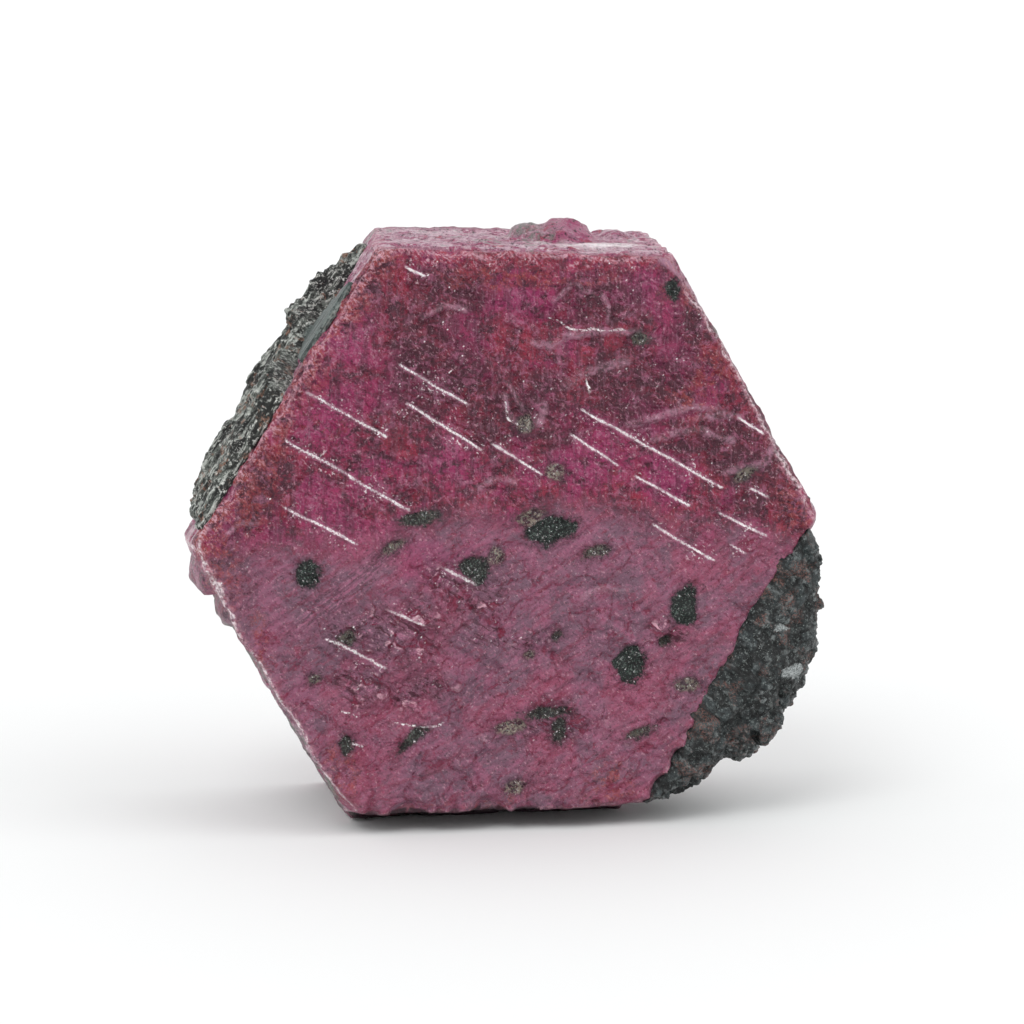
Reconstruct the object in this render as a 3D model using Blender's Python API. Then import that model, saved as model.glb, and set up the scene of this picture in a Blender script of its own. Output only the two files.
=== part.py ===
# Rough ruby crystal: a six-sided corundum tablet standing on one of its prism faces, with a lump of
# dark schist on its lower right prism face and a thin leafy crust of schist on its upper left one.
#
# Frame: +Z up, the tablet's c-axis along Y, the better basal face towards -Y. The origin is on the
# ground under the middle of the specimen. Dimensions below are in millimetres, meshes in metres.
# Heights below count from a datum close to the broken lower front edge, RAISE above the ground.
import math
import random

import bmesh
import bpy
from mathutils import Matrix, Vector

MM = 0.001

# --- driving dimensions of the tablet -------------------------------------------------------------
RAISE = 1.0             # height of the datum over the ground
THICKNESS = 18.0        # front basal face to back basal face
FRONT = -THICKNESS / 2
BACK = THICKNESS / 2
# corners of the front basal face, as (x, z)
CORNERS = {
    "left": (-21.3, 18.2),
    "top_left": (-9.2, 37.2),
    "top_right": (10.0, 36.5),
    "right": (20.0, 18.9),
    "bottom_right": (8.8, 0.8),
    "bottom_left": (-11.4, 0.7),
}
# prism faces: the two front corners they join, and how far each one leans out at the back
PRISM_FACES = (
    ("left", "top_left", -2.0),
    ("top_left", "top_right", 0.15),
    ("top_right", "right", 1.7),
    ("right", "bottom_right", 0.2),
    ("bottom_left", "left", -0.1),
)
REST_HEIGHT = -RAISE    # the lowest prism face lies on the ground
HEEL = -4.6             # y where the rest face starts; in front of it the crystal is broken away
LIFT = 0.3              # height of the broken front edge
GAP = 0.3               # clearance between the crystal and the rock on it
SKIM = 0.12             # how far a shallow cutter stands out of the face that it cuts
STRIA = math.radians(-29)    # growth lines on the basal faces fall to the right at this angle
CROSS = math.radians(34)     # and a second, weaker set climbs to the right


def remove_everything():
    for item in list(bpy.data.objects):
        bpy.data.objects.remove(item, do_unlink=True)


def make_material(name, colour, roughness, metallic=0.0):
    material = bpy.data.materials.new(name)
    material.use_nodes = True
    shader = material.node_tree.nodes["Principled BSDF"]
    shader.inputs["Base Color"].default_value = (*colour, 1.0)
    shader.inputs["Roughness"].default_value = roughness
    shader.inputs["Metallic"].default_value = metallic
    material.diffuse_color = (*colour, 1.0)
    return material


def make_object(name, bm, material=None):
    bmesh.ops.recalc_face_normals(bm, faces=bm.faces[:])
    bmesh.ops.translate(bm, vec=(0.0, 0.0, RAISE), verts=bm.verts[:])
    bmesh.ops.scale(bm, vec=(MM, MM, MM), verts=bm.verts[:])
    mesh = bpy.data.meshes.new(name)
    bm.to_mesh(mesh)
    bm.free()
    item = bpy.data.objects.new(name, mesh)
    bpy.context.scene.collection.objects.link(item)
    if material:
        mesh.materials.append(material)
    return item


def make_cutter(name, bm):
    cutter = make_object(name, bm)
    cutter.hide_render = True
    cutter.display_type = "WIRE"
    return cutter


def add_boolean(item, cutter, operation, overlapping=False):
    modifier = item.modifiers.new(cutter.name, "BOOLEAN")
    modifier.object = cutter
    modifier.operation = operation
    modifier.solver = "EXACT"
    modifier.use_self = overlapping


# Convex solid around a few points.
def add_hull(bm, points):
    verts = [bm.verts.new(point) for point in points]
    made = bmesh.ops.convex_hull(bm, input=verts)
    inside = {g for g in made["geom_interior"] + made["geom_unused"] if isinstance(g, bmesh.types.BMVert)}
    bmesh.ops.delete(bm, geom=[v for v in inside if v.is_valid and not v.link_faces], context="VERTS")


# --- the plain tablet -----------------------------------------------------------------------------
# Plane of one prism face: a point on it, and its outward normal. It holds the front edge and leans
# out by `lean` across the thickness.
def prism_plane(first, second, lean):
    a = Vector((CORNERS[first][0], FRONT, CORNERS[first][1]))
    b = Vector((CORNERS[second][0], FRONT, CORNERS[second][1]))
    edge = (b - a).normalized()
    outward = Vector((-edge.z, 0.0, edge.x))
    across = Vector((0.0, THICKNESS, 0.0)) + outward * lean
    return a, edge.cross(across).normalized()


def tablet_planes():
    planes = [prism_plane(*face) for face in PRISM_FACES]
    planes.append((Vector((0, 0, REST_HEIGHT)), Vector((0, 0, -1))))
    planes.append((Vector((0, FRONT, 0)), Vector((0, -1, 0))))
    planes.append((Vector((0, BACK, 0)), Vector((0, 1, 0))))
    return planes


# Worn and broken corners and edges of the tablet, as a point on the break and its outward normal.
BREAKS = (
    ((9.6, FRONT, 36.0), (0.55, -0.62, 0.62)),
    ((13.3, BACK, 35.9), (0.75, 0.55, 0.75)),
    ((-20.4, FRONT, 17.4), (-1.0, -0.75, -0.25)),
    ((-20.6, 0.0, 17.0), (-1.0, 0.05, -0.35)),
    ((-18.6, BACK, 17.4), (-0.9, 0.8, 0.1)),
    ((-11.2, FRONT, 1.5), (-0.7, -0.5, -0.75)),
    ((-11.9, BACK, 1.3), (-0.8, 0.5, -0.6)),
    ((19.5, FRONT, 18.4), (1.0, -0.35, -0.05)),
    ((20.6, BACK, 18.6), (0.9, 0.6, 0.1)),
    ((-9.0, FRONT, 36.8), (-0.3, -0.6, 0.85)),
    ((-7.4, BACK, 36.2), (-0.5, 0.55, 0.75)),
    ((8.6, BACK, 1.2), (0.6, 0.6, -0.9)),
)


def build_tablet(grow=0.0, breaks=()):
    bm = bmesh.new()
    bmesh.ops.create_cube(bm, size=80.0, matrix=Matrix.Translation((0, 0, 18)))
    planes = tablet_planes() + [(Vector(p), Vector(n).normalized()) for p, n in breaks]
    for point, normal in planes:
        everything = bm.verts[:] + bm.edges[:] + bm.faces[:]
        cut = bmesh.ops.bisect_plane(
            bm, geom=everything, plane_co=point + normal * grow, plane_no=normal, clear_outer=True
        )
        rim = [g for g in cut["geom_cut"] if isinstance(g, bmesh.types.BMEdge)]
        if rim:
            bmesh.ops.edgeloop_fill(bm, edges=rim)
    return bm


# Blocks that break away the front of the rest face, as (x low, x high, y at both ends, height).
UNDERCUTS = (
    (-16.0, -2.5, HEEL + 0.3, HEEL - 0.6, LIFT),
    (-4.0, 5.5, HEEL - 0.2, HEEL + 0.4, LIFT - 0.06),
    (4.4, 12.5, HEEL - 0.3, HEEL - 1.4, LIFT - 0.2),
)
UNDERCUT_SLOPE = 0.5    # how far forward and up the wall behind the break leans at its top


def build_undercut():
    bm = bmesh.new()
    for low, high, y_low, y_high, height in UNDERCUTS:
        points = []
        for x, y in ((low, y_low), (high, y_high)):
            points += [(x, y, REST_HEIGHT - 1.0), (x, y, height - UNDERCUT_SLOPE)]
            points += [(x, y - UNDERCUT_SLOPE, height)]
            points += [(x, FRONT - 2.0, REST_HEIGHT - 1.0), (x, FRONT - 2.0, height)]
        add_hull(bm, points)
    return bm


# --- relief on the basal faces --------------------------------------------------------------------
# Thin wedge sunk along a line: a steep wall on the line and a floor that ramps up beside it. `face`
# is the level of the basal face, `out` the way it faces along Y, `run` the width of the ramp. The
# floor is deepest over the middle stretch of the line and closes up to a point at both ends.
def add_ledge(bm, start, end, depth, run, face, out):
    a = Vector((start[0], 0, start[1]))
    b = Vector((end[0], 0, end[1]))
    along = b - a
    side = Vector((along.z, 0, -along.x)).normalized() * run
    high = Vector((0, face + out * SKIM, 0))
    low = Vector((0, face - out * depth, 0))
    add_hull(bm, (
        a + high, b + high,
        a + along * 0.2 + low, a + along * 0.8 + low,
        a + along * 0.3 + side + high, a + along * 0.75 + side + high,
    ))


# Long growth ledges of the front face, as (x, z) of both ends, all nearly along STRIA.
LEDGE_DEPTH = 0.34
LEDGE_RUN = 1.15
FRONT_LEDGES = (
    ((-8.0, 29.8), (-3.2, 27.0)), ((-7.5, 27.3), (-2.3, 24.0)), ((-1.9, 24.6), (1.6, 22.3)),
    ((-14.0, 28.2), (-8.5, 25.0)), ((-15.3, 25.1), (-7.0, 20.2)), ((-15.5, 20.8), (-10.4, 18.1)),
    ((3.2, 25.1), (6.7, 22.8)), ((7.5, 22.3), (11.4, 20.1)), ((13.0, 19.7), (16.6, 18.0)),
    ((3.9, 26.7), (13.6, 21.2)), ((8.6, 19.1), (13.1, 16.4)), ((13.8, 17.7), (15.2, 16.8)),
    ((14.3, 25.9), (16.3, 24.7)), ((15.0, 21.3), (16.7, 20.5)), ((-7.6, 36.1), (-5.9, 35.3)),
    ((-12.3, 12.0), (-8.6, 9.9)), ((-9.0, 14.0), (-6.0, 12.7)), ((-5.2, 16.6), (-2.6, 15.2)),
)


def build_long_ledges():
    bm = bmesh.new()
    for start, end in FRONT_LEDGES:
        add_ledge(bm, start, end, LEDGE_DEPTH, LEDGE_RUN, FRONT, -1)
    return bm


# Broad shallow growth steps, as the corners of their floors and the depth at each corner. A corner
# of depth below zero is where a floor fades out above the face.
FRONT_STEPS = (
    (((-19.5, 14.5), 0.1), ((-4.0, 6.2), 0.45), ((-1.0, 9.8), 0.35), ((-14.5, 17.3), -0.15)),
    (((0.5, 11.2), 0.35), ((12.8, 3.6), 0.3), ((15.5, 8.6), -0.1), ((6.0, 15.4), -0.1)),
    (((-7.0, 34.8), 0.3), ((3.0, 32.2), 0.35), ((6.5, 35.3), 0.05), ((-5.0, 36.6), -0.1)),
    (((6.8, 30.9), 0.3), ((14.4, 25.4), 0.3), ((13.2, 29.2), 0.0), ((9.2, 33.4), -0.1)),
    (((-13.5, 4.2), 0.3), ((-2.5, 1.6), 0.3), ((-6.0, 5.2), -0.1), ((-12.2, 8.3), -0.1)),
)
BACK_STEPS = (
    (((-16.0, 19.0), 0.5), ((2.0, 8.5), 0.5), ((6.0, 20.0), -0.1), ((-8.0, 31.0), -0.1)),
    (((-4.0, 34.5), 0.4), ((12.0, 25.0), 0.5), ((15.5, 29.0), 0.1), ((4.0, 35.8), -0.1)),
    (((-9.0, 6.5), 0.4), ((9.0, 2.2), 0.4), ((13.0, 10.0), -0.1), ((-2.0, 12.0), -0.1)),
)


def build_steps(steps, face, out):
    bm = bmesh.new()
    for corners in steps:
        points = []
        for (x, z), depth in corners:
            points.append((x, face - out * depth, z))
            points.append((x, face + out * 0.4, z))
        add_hull(bm, points)
    return bm


# Seeded small ledges that make an area hackly. `region` is (x low, x high, z low, z high).
def build_hackle(seed, count, region, face, out, angle, lengths, depth):
    chance = random.Random(seed)
    bm = bmesh.new()
    for _ in range(count):
        x = chance.uniform(region[0], region[1])
        z = chance.uniform(region[2], region[3])
        length = chance.uniform(*lengths)
        turn = angle + math.radians(chance.uniform(-12, 12))
        dx = 0.5 * length * math.cos(turn)
        dz = 0.5 * length * math.sin(turn)
        add_ledge(bm, (x - dx, z - dz), (x + dx, z + dz), depth * chance.uniform(0.6, 1.2),
                  chance.uniform(0.5, 1.1), face, out)
    return bm


# Pits left by grains of the host rock, as (x, z), half width, half height and turn in degrees.
GRAINS = (
    ((-13.9, 16.3), 0.65, 0.92, 0), ((-2.9, 16.2), 0.85, 0.98, 20), ((2.0, 18.8), 1.7, 0.85, 8),
    ((5.1, 17.3), 0.75, 0.4, 15), ((11.0, 13.6), 0.85, 1.25, -8), ((7.4, 9.8), 0.9, 1.2, -12),
    ((9.7, 11.3), 0.4, 0.4, 0), ((-6.5, 19.7), 1.15, 0.4, 5), ((1.7, 6.7), 1.3, 0.4, 5),
    ((2.7, 5.6), 0.4, 0.8, 0), ((-0.5, 6.0), 0.9, 0.4, 8), ((-0.2, 1.95), 0.65, 0.45, 0),
    ((-7.0, 5.4), 1.1, 0.33, 42), ((-11.3, 4.95), 0.32, 0.65, 0), ((7.9, 31.1), 0.5, 0.4, 0),
    ((11.3, 8.3), 0.65, 0.5, 0), ((0.4, 25.7), 0.5, 0.65, 0), ((2.3, 22.7), 0.6, 0.5, 0),
    ((-11.4, 12.0), 0.65, 0.4, 30), ((8.0, 5.3), 0.8, 0.33, 20), ((9.9, 33.6), 0.5, 0.5, 0),
)
PIT_DEPTH = 0.42
PIT_RIM = 0.1           # how much wider a pit is than its grain
SUNK_GRAIN = 0.6        # grains with a smaller half size than this have fallen out of their pits
GRAIN_LEVEL = 0.45      # depth of a grain's middle
GRAIN_HALF = 0.33


def place_ellipsoid(bm, centre, radii, turn, subdivisions):
    place = (Matrix.Translation(centre) @ Matrix.Rotation(-math.radians(turn), 4, "Y")
             @ Matrix.Diagonal((*radii, 1.0)))
    bmesh.ops.create_icosphere(bm, subdivisions=subdivisions, radius=1.0, matrix=place)


def build_pits():
    bm = bmesh.new()
    for (x, z), half_width, half_height, turn in GRAINS:
        place_ellipsoid(bm, (x, FRONT, z), (half_width + PIT_RIM, PIT_DEPTH, half_height + PIT_RIM),
                        turn, 1)
    return bm


# The grains themselves, sunk in the floors of the larger pits.
def build_grains():
    bm = bmesh.new()
    for (x, z), half_width, half_height, turn in GRAINS:
        if min(half_width, half_height) > SUNK_GRAIN:
            radii = (0.75 * half_width, GRAIN_HALF, 0.75 * half_height)
            place_ellipsoid(bm, (x, FRONT + GRAIN_LEVEL, z), radii, turn + 25, 1)
    return bm


# Smooth, etched ridges of the front face: runs of (x, z), with a radius.
RIDGES = (
    (((-0.7, 28.4), (-0.2, 27.6), (0.1, 26.8)), 0.22),
    (((-1.0, 27.6), (-0.9, 26.6), (-0.5, 25.9), (0.4, 25.4), (1.4, 26.0), (1.6, 26.9)), 0.26),
    (((0.6, 31.1), (2.0, 30.9), (2.8, 31.5), (5.5, 31.6), (7.8, 31.7)), 0.26),
    (((3.0, 28.2), (4.4, 29.0), (5.8, 29.3), (7.1, 29.7)), 0.28),
    (((9.0, 24.5), (10.6, 25.1), (12.0, 25.1), (13.0, 24.6), (14.2, 24.2)), 0.26),
    (((11.6, 25.8), (13.4, 26.2), (14.6, 25.8)), 0.24),
    (((2.1, 33.6), (3.4, 34.7), (4.9, 34.1)), 0.2),
    (((-6.2, 32.6), (-5.0, 33.4), (-3.6, 33.1)), 0.2),
    (((4.2, 14.2), (5.6, 14.9), (7.0, 14.6)), 0.24),
)


# Half-sunk rope of a few hexagonal links: one hull around each stretch between two rings.
def build_ridges():
    bm = bmesh.new()
    for run, radius in RIDGES:
        for (x0, z0), (x1, z1) in zip(run, run[1:]):
            along = Vector((x1 - x0, 0, z1 - z0)).normalized()
            across = Vector((along.z, 0, -along.x))
            points = []
            for x, z in ((x0, z0), (x1, z1)):
                middle = Vector((x, FRONT + 0.1, z))
                for step in range(6):
                    angle = math.pi / 3 * step
                    points.append(middle + across * radius * math.cos(angle)
                                  + Vector((0, 0.8 * radius * math.sin(angle), 0)))
            add_hull(bm, points)
    return bm


# --- relief on the prism faces --------------------------------------------------------------------
# Long growth steps that run along a prism face, parallel to the basal faces. Each is a flat wedge
# sunk `depth` at its wall, at y = `wall`, that ramps out at y = `fade`.
def build_side_steps():
    chance = random.Random(12)
    bm = bmesh.new()
    for first, second, lean in PRISM_FACES:
        point, normal = prism_plane(first, second, lean)
        a = Vector((CORNERS[first][0], FRONT, CORNERS[first][1]))
        b = Vector((CORNERS[second][0], FRONT, CORNERS[second][1]))
        for wall in (-5.6, -1.4, 3.1, 6.4):
            start = a.lerp(b, chance.uniform(0.03, 0.3))
            end = a.lerp(b, chance.uniform(0.65, 0.97))
            fade = wall + chance.uniform(1.6, 3.0) * chance.choice((-1, 1))
            depth = chance.uniform(0.2, 0.45)
            add_side_wedge(bm, start, end, wall, fade, depth, point, normal)
    return bm


def add_side_wedge(bm, start, end, wall, fade, depth, point, normal):
    points = []
    for place in (start, end):
        for y, level in ((wall, 0.4), (wall, -depth), (fade, 0.4)):
            spot = Vector((place.x, y, place.z))
            spot -= normal * (spot - point).dot(normal)
            points.append(spot + normal * level)
    add_hull(bm, points)


# Lump of crumbly corundum and grains on the top face.
TOP_LUMP = (
    ((2.6, 2.2, 36.8), (1.4, 2.0, 1.1)), ((4.9, 2.4, 36.7), (2.2, 2.4, 1.3)),
    ((8.6, 4.5, 36.4), (1.8, 1.8, 0.8)), ((-5.0, 4.0, 36.7), (2.4, 2.0, 0.6)),
)


def build_top_lump():
    bm = bmesh.new()
    chance = random.Random(5)
    for centre, radii in TOP_LUMP:
        start = len(bm.verts)
        place_ellipsoid(bm, centre, radii, 0, 2)
        bm.verts.ensure_lookup_table()
        for vert in bm.verts[start:]:
            vert.co += Vector([chance.uniform(-0.13, 0.13) for _ in range(3)])
    return bm


# Chips broken out along the edges of the basal faces, each a small convex block of chance shape.
def build_chips():
    chance = random.Random(37)
    bm = bmesh.new()
    names = list(CORNERS)
    for level, lean_back, rest_edge in ((FRONT, 0.0, LIFT), (BACK, 1.0, REST_HEIGHT)):
        for index, name in enumerate(names):
            following = names[(index + 1) % len(names)]
            lean = next((f[2] for f in PRISM_FACES if {f[0], f[1]} == {name, following}), None)
            a = Vector((CORNERS[name][0], level, CORNERS[name][1]))
            b = Vector((CORNERS[following][0], level, CORNERS[following][1]))
            if lean is None:
                lean = 0.0
                a.z = rest_edge
                b.z = rest_edge
            edge = (b - a).normalized()
            outward = Vector((-edge.z, 0, edge.x)) * lean * lean_back
            for number in range(4):
                place = a.lerp(b, (number + chance.uniform(0.25, 0.75)) / 4) + outward
                size = chance.uniform(0.4, 1.0)
                points = []
                for _ in range(9):
                    spread = Vector([chance.uniform(-1, 1) for _ in range(3)]).normalized() * size
                    points.append(place + spread + edge * chance.uniform(-1.0, 1.0) * size)
                add_hull(bm, points)
    return bm


# --- host rock ------------------------------------------------------------------------------------
# Point over a prism face: `along` from its first corner and `y` lie in the face, `height` is off it.
def over_face(face, along, y, height):
    point, normal = prism_plane(*face)
    a = Vector((CORNERS[face[0]][0], FRONT, CORNERS[face[0]][1]))
    b = Vector((CORNERS[face[1]][0], FRONT, CORNERS[face[1]][1]))
    spot = a + (b - a).normalized() * along
    spot.y = y
    return spot + normal * (height - (spot - point).dot(normal))


def add_remesh(item, name, size):
    remesh = item.modifiers.new(name, "REMESH")
    remesh.mode = "VOXEL"
    remesh.voxel_size = size * MM


# Rough solid of rock: overlapping hulls, remeshed evenly into one skin, roughened by a cloud
# texture, then cut back to the crystal by the slightly larger envelope of the crystal.
def make_rock(name, hulls, material, envelope, grain, relief, size):
    bm = bmesh.new()
    for points in hulls:
        add_hull(bm, points)
    rock = make_object(name, bm, material)
    add_remesh(rock, "even mesh", 0.9 * grain)
    texture = bpy.data.textures.new(name + "_relief", "CLOUDS")
    texture.noise_scale = size * MM
    texture.noise_depth = 3
    displace = rock.modifiers.new("relief", "DISPLACE")
    displace.texture = texture
    displace.texture_coords = "GLOBAL"
    displace.strength = relief * MM
    displace.mid_level = 0.5
    add_remesh(rock, "clean skin", grain)
    add_boolean(rock, envelope, "DIFFERENCE", overlapping=True)
    return rock


# Lump on the lower right prism face: an upper and a lower boulder and a tail that tapers off along
# the bottom edge. The points towards the crystal lie inside it, where the envelope cuts them away.
LUMP_BOULDERS = (
    ((18.9, -8.2, 17.8), (20.3, -6.4, 16.8), (21.0, -5.0, 13.8), (20.5, -6.0, 10.8), (16.0, -8.8, 12.6),
     (21.2, 0.0, 15.8), (21.5, 0.5, 12.8), (20.6, 0.5, 9.6), (20.2, 5.8, 14.6), (19.3, 6.4, 11.0),
     (14.0, -8.0, 14.0), (14.0, 5.5, 14.0), (14.6, -8.6, 10.4), (14.0, 5.0, 9.0), (18.0, 1.0, 18.0)),
    ((20.2, -5.6, 10.2), (19.2, -5.8, 7.2), (18.2, -6.4, 5.1), (15.8, -6.8, 3.6), (13.2, -8.9, 8.0),
     (12.4, -8.8, 6.0), (14.4, -8.8, 11.0), (20.6, -1.0, 9.6), (19.9, 0.5, 7.2), (18.2, 0.5, 4.1),
     (18.4, 6.0, 9.4), (16.8, 5.8, 5.6), (11.0, -7.0, 8.0), (11.0, 4.0, 8.0), (13.0, 6.4, 6.4)),
    ((17.3, -6.6, 4.0), (14.6, -6.6, 1.8), (12.6, -6.8, 0.7), (9.8, -7.6, 0.7), (11.4, -8.6, 4.6),
     (16.0, 0.0, 3.0), (13.4, 0.0, 1.2), (10.2, -1.0, 0.9), (14.2, 5.0, 3.6), (11.4, 4.4, 1.7),
     (8.0, -6.0, 4.0), (8.5, 3.0, 4.0), (9.0, -2.0, 7.0)),
    ((20.8, -5.2, 9.8), (21.2, -1.0, 9.8), (20.4, -4.8, 7.6), (20.4, -1.0, 7.4), (18.0, -6.4, 9.4),
     (18.0, 0.0, 9.4), (18.0, -3.0, 6.5)),
    ((16.2, -8.9, 10.6), (14.2, -9.0, 8.6), (16.4, -8.7, 7.0), (18.0, -8.0, 9.6), (15.0, -5.0, 8.8)),
)

# Leaves of the crust on the upper left prism face: along the face from its lower corner, depth y
# and height over the face of each of the four corners of a leaf.
CRUST_LEAVES = (
    ((0.9, -8.3, 0.5), (12.2, -7.4, 0.7), (12.8, 7.6, 1.1), (1.6, 7.2, 0.9)),
    ((10.4, -5.4, 0.8), (17.6, -3.0, 1.0), (18.4, 7.9, 1.2), (10.8, 7.8, 1.2)),
    ((16.2, -2.6, 0.9), (22.3, 0.8, 0.9), (22.3, 7.6, 0.9), (16.0, 7.8, 1.2)),
    ((3.4, -2.6, 1.3), (9.6, -4.2, 1.5), (10.6, 3.4, 1.7), (4.2, 5.2, 1.6)),
    ((13.2, -0.6, 1.7), (19.2, 1.2, 1.9), (19.4, 6.6, 2.0), (13.6, 6.8, 2.0)),
    ((7.8, -6.6, 1.0), (14.4, -4.6, 1.2), (13.2, 0.6, 1.6), (8.2, 0.2, 1.5)),
)
LEAF_ROOT = -4.0        # how deep a leaf's hull reaches below the face, before the envelope cuts it
LEAF_INSET = 0.7


def crust_hulls():
    hulls = []
    for corners in CRUST_LEAVES:
        middle_along = sum(c[0] for c in corners) / len(corners)
        middle_y = sum(c[1] for c in corners) / len(corners)
        points = []
        for along, y, height in corners:
            points.append(over_face(PRISM_FACES[0], along, y, height))
            inner_along = middle_along + (along - middle_along) * LEAF_INSET
            inner_y = middle_y + (y - middle_y) * LEAF_INSET
            points.append(over_face(PRISM_FACES[0], inner_along, inner_y, LEAF_ROOT))
            points.append(over_face(PRISM_FACES[0], along, y, 0.2))
        hulls.append(points)
    return hulls


def main():
    remove_everything()
    ruby = make_material("ruby", (0.27, 0.055, 0.105), 0.45)
    schist = make_material("schist", (0.032, 0.036, 0.035), 0.55)
    crust_stone = make_material("foliated_schist", (0.075, 0.078, 0.07), 0.6)

    crystal = make_object("ruby_crystal", build_tablet(breaks=BREAKS), ruby)
    low_hackle = build_hackle(3, 46, (-15.5, 9.0, 2.5, 15.5), FRONT, -1, CROSS, (1.4, 3.8), 0.26)
    high_hackle = build_hackle(8, 24, (-12.0, 13.0, 20.0, 35.0), FRONT, -1, STRIA, (0.9, 2.2), 0.2)
    back_hackle = build_hackle(21, 40, (-14.0, 14.0, 4.0, 33.0), BACK, 1, -STRIA, (1.6, 5.0), 0.3)
    for name, shape, operation, overlapping in (
        ("undercut", build_undercut(), "DIFFERENCE", True),
        ("side_steps", build_side_steps(), "DIFFERENCE", True),
        ("top_lump", build_top_lump(), "UNION", True),
        ("front_steps", build_steps(FRONT_STEPS, FRONT, -1), "DIFFERENCE", True),
        ("back_steps", build_steps(BACK_STEPS, BACK, 1), "DIFFERENCE", True),
        ("etched_ridges", build_ridges(), "UNION", True),
        ("long_ledges", build_long_ledges(), "DIFFERENCE", True),
        ("low_hackle", low_hackle, "DIFFERENCE", True),
        ("high_hackle", high_hackle, "DIFFERENCE", True),
        ("back_hackle", back_hackle, "DIFFERENCE", True),
        ("grain_pits", build_pits(), "DIFFERENCE", True),
        ("grains", build_grains(), "UNION", True),
        ("edge_chips", build_chips(), "DIFFERENCE", True),
    ):
        add_boolean(crystal, make_cutter(name, shape), operation, overlapping)

    envelope = make_cutter("crystal_envelope", build_tablet(grow=GAP))
    make_rock("schist_lump", LUMP_BOULDERS, schist, envelope, 0.8, 1.5, 1.3)
    make_rock("schist_crust", crust_hulls(), crust_stone, envelope, 0.7, 1.1, 1.2)


main()
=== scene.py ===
import math
from types import SimpleNamespace
import bpy
from mathutils import Matrix
import numpy as np


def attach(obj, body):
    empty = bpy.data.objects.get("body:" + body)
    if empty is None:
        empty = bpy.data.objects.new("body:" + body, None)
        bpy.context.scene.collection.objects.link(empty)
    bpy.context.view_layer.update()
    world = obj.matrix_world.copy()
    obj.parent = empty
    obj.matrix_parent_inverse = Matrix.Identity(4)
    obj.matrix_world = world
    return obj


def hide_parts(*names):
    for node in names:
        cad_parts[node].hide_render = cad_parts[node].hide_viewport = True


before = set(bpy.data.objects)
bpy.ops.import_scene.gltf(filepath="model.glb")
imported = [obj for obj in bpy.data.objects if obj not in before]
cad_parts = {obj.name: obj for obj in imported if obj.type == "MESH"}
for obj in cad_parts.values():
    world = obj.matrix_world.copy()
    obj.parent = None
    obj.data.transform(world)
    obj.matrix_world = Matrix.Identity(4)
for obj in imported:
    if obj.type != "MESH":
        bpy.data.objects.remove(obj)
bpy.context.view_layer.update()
mm = 0.001  # every shape below is worked out in millimetres and put into its mesh in metres
print("frame loaded:", sorted(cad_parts))


def hashed(ix, iy, iz, seed):
    # a fixed chance number from 0 to 1 for each lattice point: its indices are multiplied by large
    # primes, added, and mixed by two shifts
    h = ix.astype(np.uint32) * np.uint32(374761393) + iy.astype(np.uint32) * np.uint32(668265263)
    h = h + iz.astype(np.uint32) * np.uint32(2246822519) + np.uint32(seed * 7919 + 101)
    h = (h ^ (h >> np.uint32(15))) * np.uint32(2246822519)
    h = (h ^ (h >> np.uint32(13))) * np.uint32(3266489917)
    return (h ^ (h >> np.uint32(16))).astype(np.float64) / 4294967295.0


def softNoise(points, size, seed):
    # smooth noise from -1 to 1: the eight lattice values round a point, blended by the curve
    # 6t^5 - 15t^4 + 10t^3
    q = points / size
    cell = np.floor(q).astype(np.int64)
    t = q - cell
    t = t * t * t * (t * (t * 6 - 15) + 10)
    total = np.zeros(len(points))
    for dx in (0, 1):
        wx = t[:, 0] if dx else 1 - t[:, 0]
        for dy in (0, 1):
            wxy = wx * (t[:, 1] if dy else 1 - t[:, 1])
            for dz in (0, 1):
                w = wxy * (t[:, 2] if dz else 1 - t[:, 2])
                total += w * hashed(cell[:, 0] + dx, cell[:, 1] + dy, cell[:, 2] + dz, seed)
    return total * 2 - 1


def cloud(points, size, octaves, seed):
    # octaves of smooth noise, each half the size and a bit over half the strength of the last, their
    # mean drawn out to reach about -1 to 1
    total, weight, reach = 0.0, 1.0, 0.0
    for n in range(octaves):
        total = total + weight * softNoise(points, size / 2 ** n, seed + n * 17)
        reach += weight
        weight *= 0.55
    return total / reach * 1.35


def grainCells(points, size, seed):
    # distance to the nearest and second nearest of one chance point per lattice cell, in units of
    # `size`, and a chance number of the nearest one
    q = points / size
    cell = np.floor(q).astype(np.int64)
    first = np.full(len(points), 9.0)
    second = np.full(len(points), 9.0)
    mark = np.zeros(len(points))
    for dx in (-1, 0, 1):
        for dy in (-1, 0, 1):
            for dz in (-1, 0, 1):
                ix, iy, iz = cell[:, 0] + dx, cell[:, 1] + dy, cell[:, 2] + dz
                ox = ix + hashed(ix, iy, iz, seed) - q[:, 0]
                oy = iy + hashed(ix, iy, iz, seed + 1) - q[:, 1]
                oz = iz + hashed(ix, iy, iz, seed + 2) - q[:, 2]
                d = np.sqrt(ox * ox + oy * oy + oz * oz)
                nearer = d < first
                second = np.where(nearer, first, np.minimum(second, d))
                mark = np.where(nearer, hashed(ix, iy, iz, seed + 3), mark)
                first = np.where(nearer, d, first)
    return first, second, mark


def ease(x, low, high):
    # 0 below low, 1 above high (or the other way round), with the curve 3t^2 - 2t^3 between
    t = np.clip((x - low) / (high - low), 0.0, 1.0)
    return t * t * (3 - 2 * t)


def between(pair, share):
    # from the first value of a pair to the second as the share goes from 0 to 1
    return pair[0] + (pair[1] - pair[0]) * share


def flat(x, z):
    # points in the plane of a basal face
    return trios(x, np.zeros_like(x), z)


def grid(rows, columns):
    # the row and the column of every place of a table, row by row
    return [index.ravel() for index in np.indices((rows, columns))]


def trios(a, b, c):
    # one row for each three values: the corners of triangles, or the x, y, z of points
    return np.stack([a, b, c], axis=1)


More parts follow.
